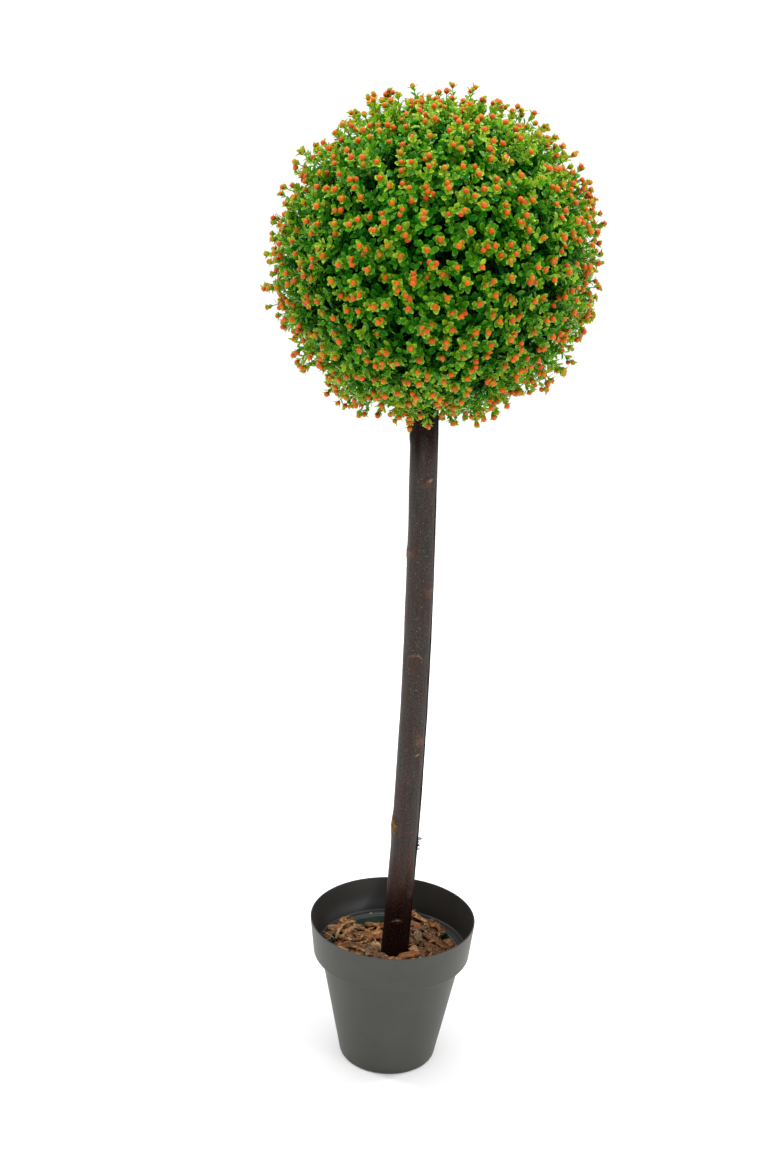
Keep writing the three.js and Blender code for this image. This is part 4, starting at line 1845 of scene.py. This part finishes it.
    def rosettes(
        self,
        shoots: Shoots,
        counts: Array,
        back: float,
        tip_depth: Array,
        opened: float = 47.0,
        size: float = 0.9,
    ) -> Leaves:
        """Rings of small leaves at the tips, which cup the berries.

        Args:
            shoots: what they tip.
            counts: leaves in each ring.
            back: how far behind the tip a ring may stand.
            tip_depth: the leaves' depth, one per shoot.
            opened: mean angle off the shoot in degrees.
            size: length over that of a young leaf.
        Returns:
            The leaves, ring after ring.
        """
        rng = self.rng
        index, order = dealt(counts)
        tip, axis = shoots.at([1.0])[index, 0], shoots.direction([1.0])[index, 0]
        phase = np.repeat(rng.uniform(0, 2 * np.pi, len(counts)), counts)
        turn = phase + 2 * np.pi * order / counts[index] + rng.normal(0.0, 0.25, len(index))
        foot = tip - axis * rng.uniform(0.0, back, (len(index), 1))
        long = np.full(len(index), self.young_leaf * size)
        place = (foot, axis, spokes(axis, turn), shoots.spray[index])
        return self.leaf(place, opened, long, tip_depth[index])

    def tones(self, leaves: Leaves) -> Array:
        """Tones of the leaves: paler at the tips and deeper inwards, partly moulded colour and partly
        painted shade;
        paler on top, underneath and on the flanks as painted light.

        Each sprig shifts its own leaves a little.

        Args:
            leaves: all of them.
        Returns:
            One index into LeafTone per leaf.
        """
        rng = self.rng
        shift = rng.normal(0.0, 0.18, int(leaves.spray.max()) + 1)[leaves.spray]
        aim = unit(leaves.foot - self.centre)
        height = aim[:, 2]
        flank = np.hypot(aim[:, 0], height) ** 5
        # painted light: paler leaves on top, underneath and on the flanks
        lit = 0.45 * smoothstep(0.2, 0.9, height) + 0.3 * smoothstep(-0.3, -0.9, height) + 0.45 * flank
        # deeper tones inwards: partly the tips' paler moulding, partly painted shade
        score = 0.68 + (np.maximum(leaves.depth, 0.0) / self.tone_depth) ** 1.2 + shift - lit
        score = score + rng.normal(0.0, 0.52, len(score))
        return np.clip(np.floor(score), 0, len(LeafTone) - 1).astype(int)

    def berries(self, shoots: Shoots) -> dict[BerryTone, Surface]:
        """Berries at the shoots' tips, some in twos and threes: spheres with a slightly drawn-out foot.

        Args:
            shoots: what they tip.
        Returns:
            The berries of each tone, with a mask that is 1 at the foot, for painted shade there.
        """
        rng = self.rng
        number = rng.choice([0, 1, 2, 3], len(shoots.span), p=[0.04, 0.81, 0.11, 0.04])
        index, order = dealt(number)
        axis = shoots.direction([1.0])[index, 0]
        aside = spokes(axis, rng.uniform(0, 2 * np.pi, len(index)))
        off = np.where(order > 0, 5.0, 0.5) * MM
        rise = np.where(order > 0, rng.uniform(-3.0, 0.0, len(index)), 1.8) * MM
        radius = self.berry_radius * rng.normal(1.0, 0.06, len(index))
        middle = shoots.at([1.0])[index, 0] + aside * off[:, None] + axis * rise[:, None]
        rows, columns = 6, 10
        u, v = round_angles(columns), latitudes(rows)
        ball = stacked(np.cos(v) * np.cos(u), np.cos(v) * np.sin(u), np.sin(v)).reshape(-1, 3)
        ball = np.concatenate([ball, [[0.0, 0.0, -1.12], [0.0, 0.0, 0.97]]])
        axes = np.stack([*side_axes(axis), axis], 1)
        points = middle[:, None] + radius[:, None, None] * (ball @ axes)
        foot = np.tile(smoothstep(0.1, -1.0, ball[:, 2]), (len(index), 1))
        tone = rng.choice(3, len(index), p=[0.62, 0.31, 0.07])
        found = {}
        for k, name in enumerate(BerryTone):
            mine = tone == k
            triangles = copies(capped(rows, columns), len(ball), int(mine.sum()))
            found[name] = Surface(points[mine].reshape(-1, 3), triangles, None, {"foot": foot[mine].ravel()})
        return found

    def twigs(self, shoots: Shoots, steps: int, thick: float, thin: float, sides: int) -> Surface:
        """Shoots as round twigs.

        Args:
            shoots: their centre lines.
            steps: points along each.
            thick, thin: radii at the start and at the tip.
            sides: how many sides each has.
        Returns:
            The twigs as tubes.
        """
        share = np.linspace(0.0, 1.0, steps)
        radii = np.broadcast_to(thick + (thin - thick) * share, (len(shoots.span), steps))
        return tubes(shoots.at(share), radii, sides)

    def core(self) -> Surface:
        """The lattice core: round struts between neighbouring nodes, and a boss with a socket at each node.

        Returns:
            Struts and bosses as tubes.
        """
        nodes, struts = self.lattice()
        ends = self.centre + nodes[struts] * self.core_radius
        bowed = self.centre + unit(ends.mean(1) - self.centre) * self.core_radius
        paths = np.stack([ends[:, 0], bowed, ends[:, 1]], 1)
        reach = (self.core_radius + np.array([-2.0, -1.0, 1.0, 1.6, 6.0]) * MM)[:, None]
        sockets = self.centre + nodes[:, None] * reach
        radii = np.broadcast_to(self.socket * np.array([0.9, 1.0, 1.0, 0.45, 0.35]), sockets.shape[:2])
        return joined([tubes(paths, np.full(paths.shape[:2], self.strut), 6), tubes(sockets, radii, 8)])

    def foliage(self, stalks: Shoots, berried: Shoots, leafy: Shoots, sides: Shoots) -> Leaves:
        """All the leaves: rings at the tips, pairs along the shoots, and large ones round each stalk's foot.

        Args:
            stalks, berried, leafy, sides: the shoots, as grow returns them.
        Returns:
            The leaves, kind after kind.
        """
        shade = [
            (self.radius - np.linalg.norm(shoots.at([1.0])[:, 0] - self.centre, axis=-1)) * 0.9
            for shoots in (leafy, sides)
        ]
        bright = np.zeros(len(berried.span))
        # painted shade: leaves round the stalks count as deep, so they take the darkest tones
        deep = np.full(len(stalks.span), 42.0 * MM)
        collars = Shoots(stalks.start, unit(stalks.run) * 4.0 * MM, stalks.bend * 0.0, stalks.spray)
        groups = [
            self.rosettes(berried, self.rng.choice([3, 4, 5], len(berried.span)), 3.0 * MM, bright),
            self.rosettes(leafy, self.rng.choice([2, 3], len(leafy.span)), 1.5 * MM, shade[0]),
            self.rosettes(sides, self.rng.choice([2, 3], len(sides.span)), 1.5 * MM, shade[1]),
            self.leaf_pairs(berried, 4.6 * MM, 0.1, bright),
            self.leaf_pairs(leafy, 3.4 * MM, 0.12, shade[0]),
            self.leaf_pairs(sides, 3.4 * MM, 0.15, shade[1]),
            self.leaf_pairs(stalks, 1.0 * MM, 0.05, deep),
            self.rosettes(collars, np.full(len(collars.spray), 7), 1.0 * MM, deep, 82.0, 2.0),
        ]
        return Leaves.gathered(groups)

    def build(self, stem: "WoodenStem") -> None:
        """Grows the ball and adds core, twigs, leaves by tone and berries by tone.

        Args:
            stem: what the ball is threaded on.
        """
        stalks, berried, leafy, sides = self.grow(stem)
        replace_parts(self.core().piece("core_lattice", LATTICE_GREEN, "foliage"), "crown")
        twigs = [
            self.twigs(stalks, 3, 1.3 * MM, 1.0 * MM, 6),
            self.twigs(berried, 5, 0.8 * MM, 0.45 * MM, 4),
            self.twigs(leafy, 4, 0.75 * MM, 0.4 * MM, 4),
            self.twigs(sides, 3, 0.6 * MM, 0.4 * MM, 3),
        ]
        joined(twigs).piece("twigs", TWIG_GREEN, "foliage")
        leaves = self.foliage(stalks, berried, leafy, sides)
        tips = leaves.foot + leaves.along * leaves.long[:, None]
        leaves = leaves.picked(self.clear_of(stem, tips, 0.5 * MM))
        counts = [len(batch.spray) for batch in (stalks, berried, leafy, sides, leaves)]
        log.info("%d stalks, %d berried, %d leafy and %d side shoots, %d leaves", *counts)
        tones = self.tones(leaves)
        tints = self.rng.uniform(0.0, 0.4, len(tones))
        for k, tone in enumerate(LeafTone):
            rows = self.near_rows if k < 3 else self.far_rows
            mine = np.flatnonzero(tones == k)
            parts = math.ceil(len(mine) * 4 * len(rows) / PIECE_LIMIT)
            for part, chosen in enumerate(np.array_split(mine, max(parts, 1)), 1):
                surface = leaves.picked(chosen).surface(rows, tints[chosen])
                surface.piece(f"leaves_{tone.name.lower()}_{part}", tone.finish(), "foliage")
        for tone, surface in self.berries(berried).items():
            surface.piece(f"berries_{tone.name.lower()}", tone.finish(), "foliage")


# ---- studio


@dataclass(frozen=True)
class SoftBox:
    """A large soft lamp: where it stands, what it faces, its side and its power in watts."""

    name: str
    place: tuple[float, float, float]
    aim: tuple[float, float, float]
    side: float
    power: float

    def build(self) -> None:
        """Adds the lamp."""
        lamp = bpy.data.lights.new(self.name, "AREA")
        lamp.size = self.side
        lamp.energy = self.power
        lamp_object = placed(self.name, lamp)
        toward = Vector(self.aim) - Vector(self.place)
        lamp_object.location = self.place
        lamp_object.rotation_euler = toward.to_track_quat("-Z", "Y").to_euler()


@dataclass(frozen=True)
class Studio:
    """Pale floor, white surroundings, soft lamps and the camera."""

    camera_place: tuple[float, float, float] = (0.0, -1.658, 1.123)
    pitch_deg: float = 16.17  # downwards
    yaw_deg: float = -0.99
    roll_deg: float = 2.32
    lens_mm: float = 45.31
    surround: float = 1.08
    floor_half: float = 30.0
    lamps: tuple[SoftBox, ...] = (
        SoftBox("top_softbox", (0.1, 0.05, 3.0), (0.0, 0.0, 0.8), 0.45, 40.0),
        SoftBox("left_softbox", (-1.8, 0.2, 2.6), (0.0, 0.0, 0.9), 0.45, 24.0),
        SoftBox("back_softbox", (1.8, 0.4, 2.5), (0.0, 0.0, 0.9), 0.45, 20.0),
        SoftBox("right_softbox", (1.9, -1.7, 2.2), (0.0, 0.0, 0.8), 0.45, 9.5),
    )

    def build(self) -> None:
        """Adds the floor, the world, the lamps and the camera."""
        half = self.floor_half
        sheet = bpy.data.meshes.new("floor_sheet")
        corners = [(-half, -half, 0), (half, -half, 0), (half, half, 0), (-half, half, 0)]
        sheet.from_pydata(corners, [], [(0, 1, 2, 3)])
        sheet.materials.append(PalePaper("studio_paper", "#FEFEFE").material())
        placed("floor_sheet", sheet)
        world = bpy.data.worlds.new("white_surround")
        world.use_nodes = True
        sky = world.node_tree.nodes["Background"]
        sky.inputs["Color"].default_value = (1.0, 1.0, 1.0, 1.0)
        sky.inputs["Strength"].default_value = self.surround
        bpy.context.scene.world = world
        bpy.context.scene.view_settings.view_transform = "Standard"
        for lamp in self.lamps:
            lamp.build()
        self.camera()

    def camera(self) -> None:
        """Adds the camera: pitched down, turned and rolled about its own line of sight."""
        pitch, yaw, roll = (math.radians(a) for a in (self.pitch_deg, self.yaw_deg, self.roll_deg))
        ahead = Vector((math.sin(yaw), math.cos(yaw), 0.0))
        forward = ahead * math.cos(pitch) - Vector((0.0, 0.0, math.sin(pitch)))
        level = Vector((math.cos(yaw), -math.sin(yaw), 0.0))
        upward = level.cross(forward)
        right = level * math.cos(roll) + upward * math.sin(roll)
        up = upward * math.cos(roll) - level * math.sin(roll)
        lens = bpy.data.cameras.new("camera")
        lens.lens = self.lens_mm
        lens.clip_start = 0.05
        camera = placed("camera", lens)
        turn = Matrix((right, up, -forward)).transposed().to_4x4()
        camera.matrix_world = Matrix.Translation(self.camera_place) @ turn
        bpy.context.scene.camera = camera


# ---- order of work


def main() -> None:
    """Builds the studio and every sub-assembly in order."""
    logging.basicConfig(level=logging.INFO, format="%(message)s")
    Studio().build()
    CollaredPot().build()
    LinerPot().build()
    stem = WoodenStem()
    BarkBed().build(stem)
    stem.build()
    SprigBall().build(stem)


if __name__ == "__main__":
    main()
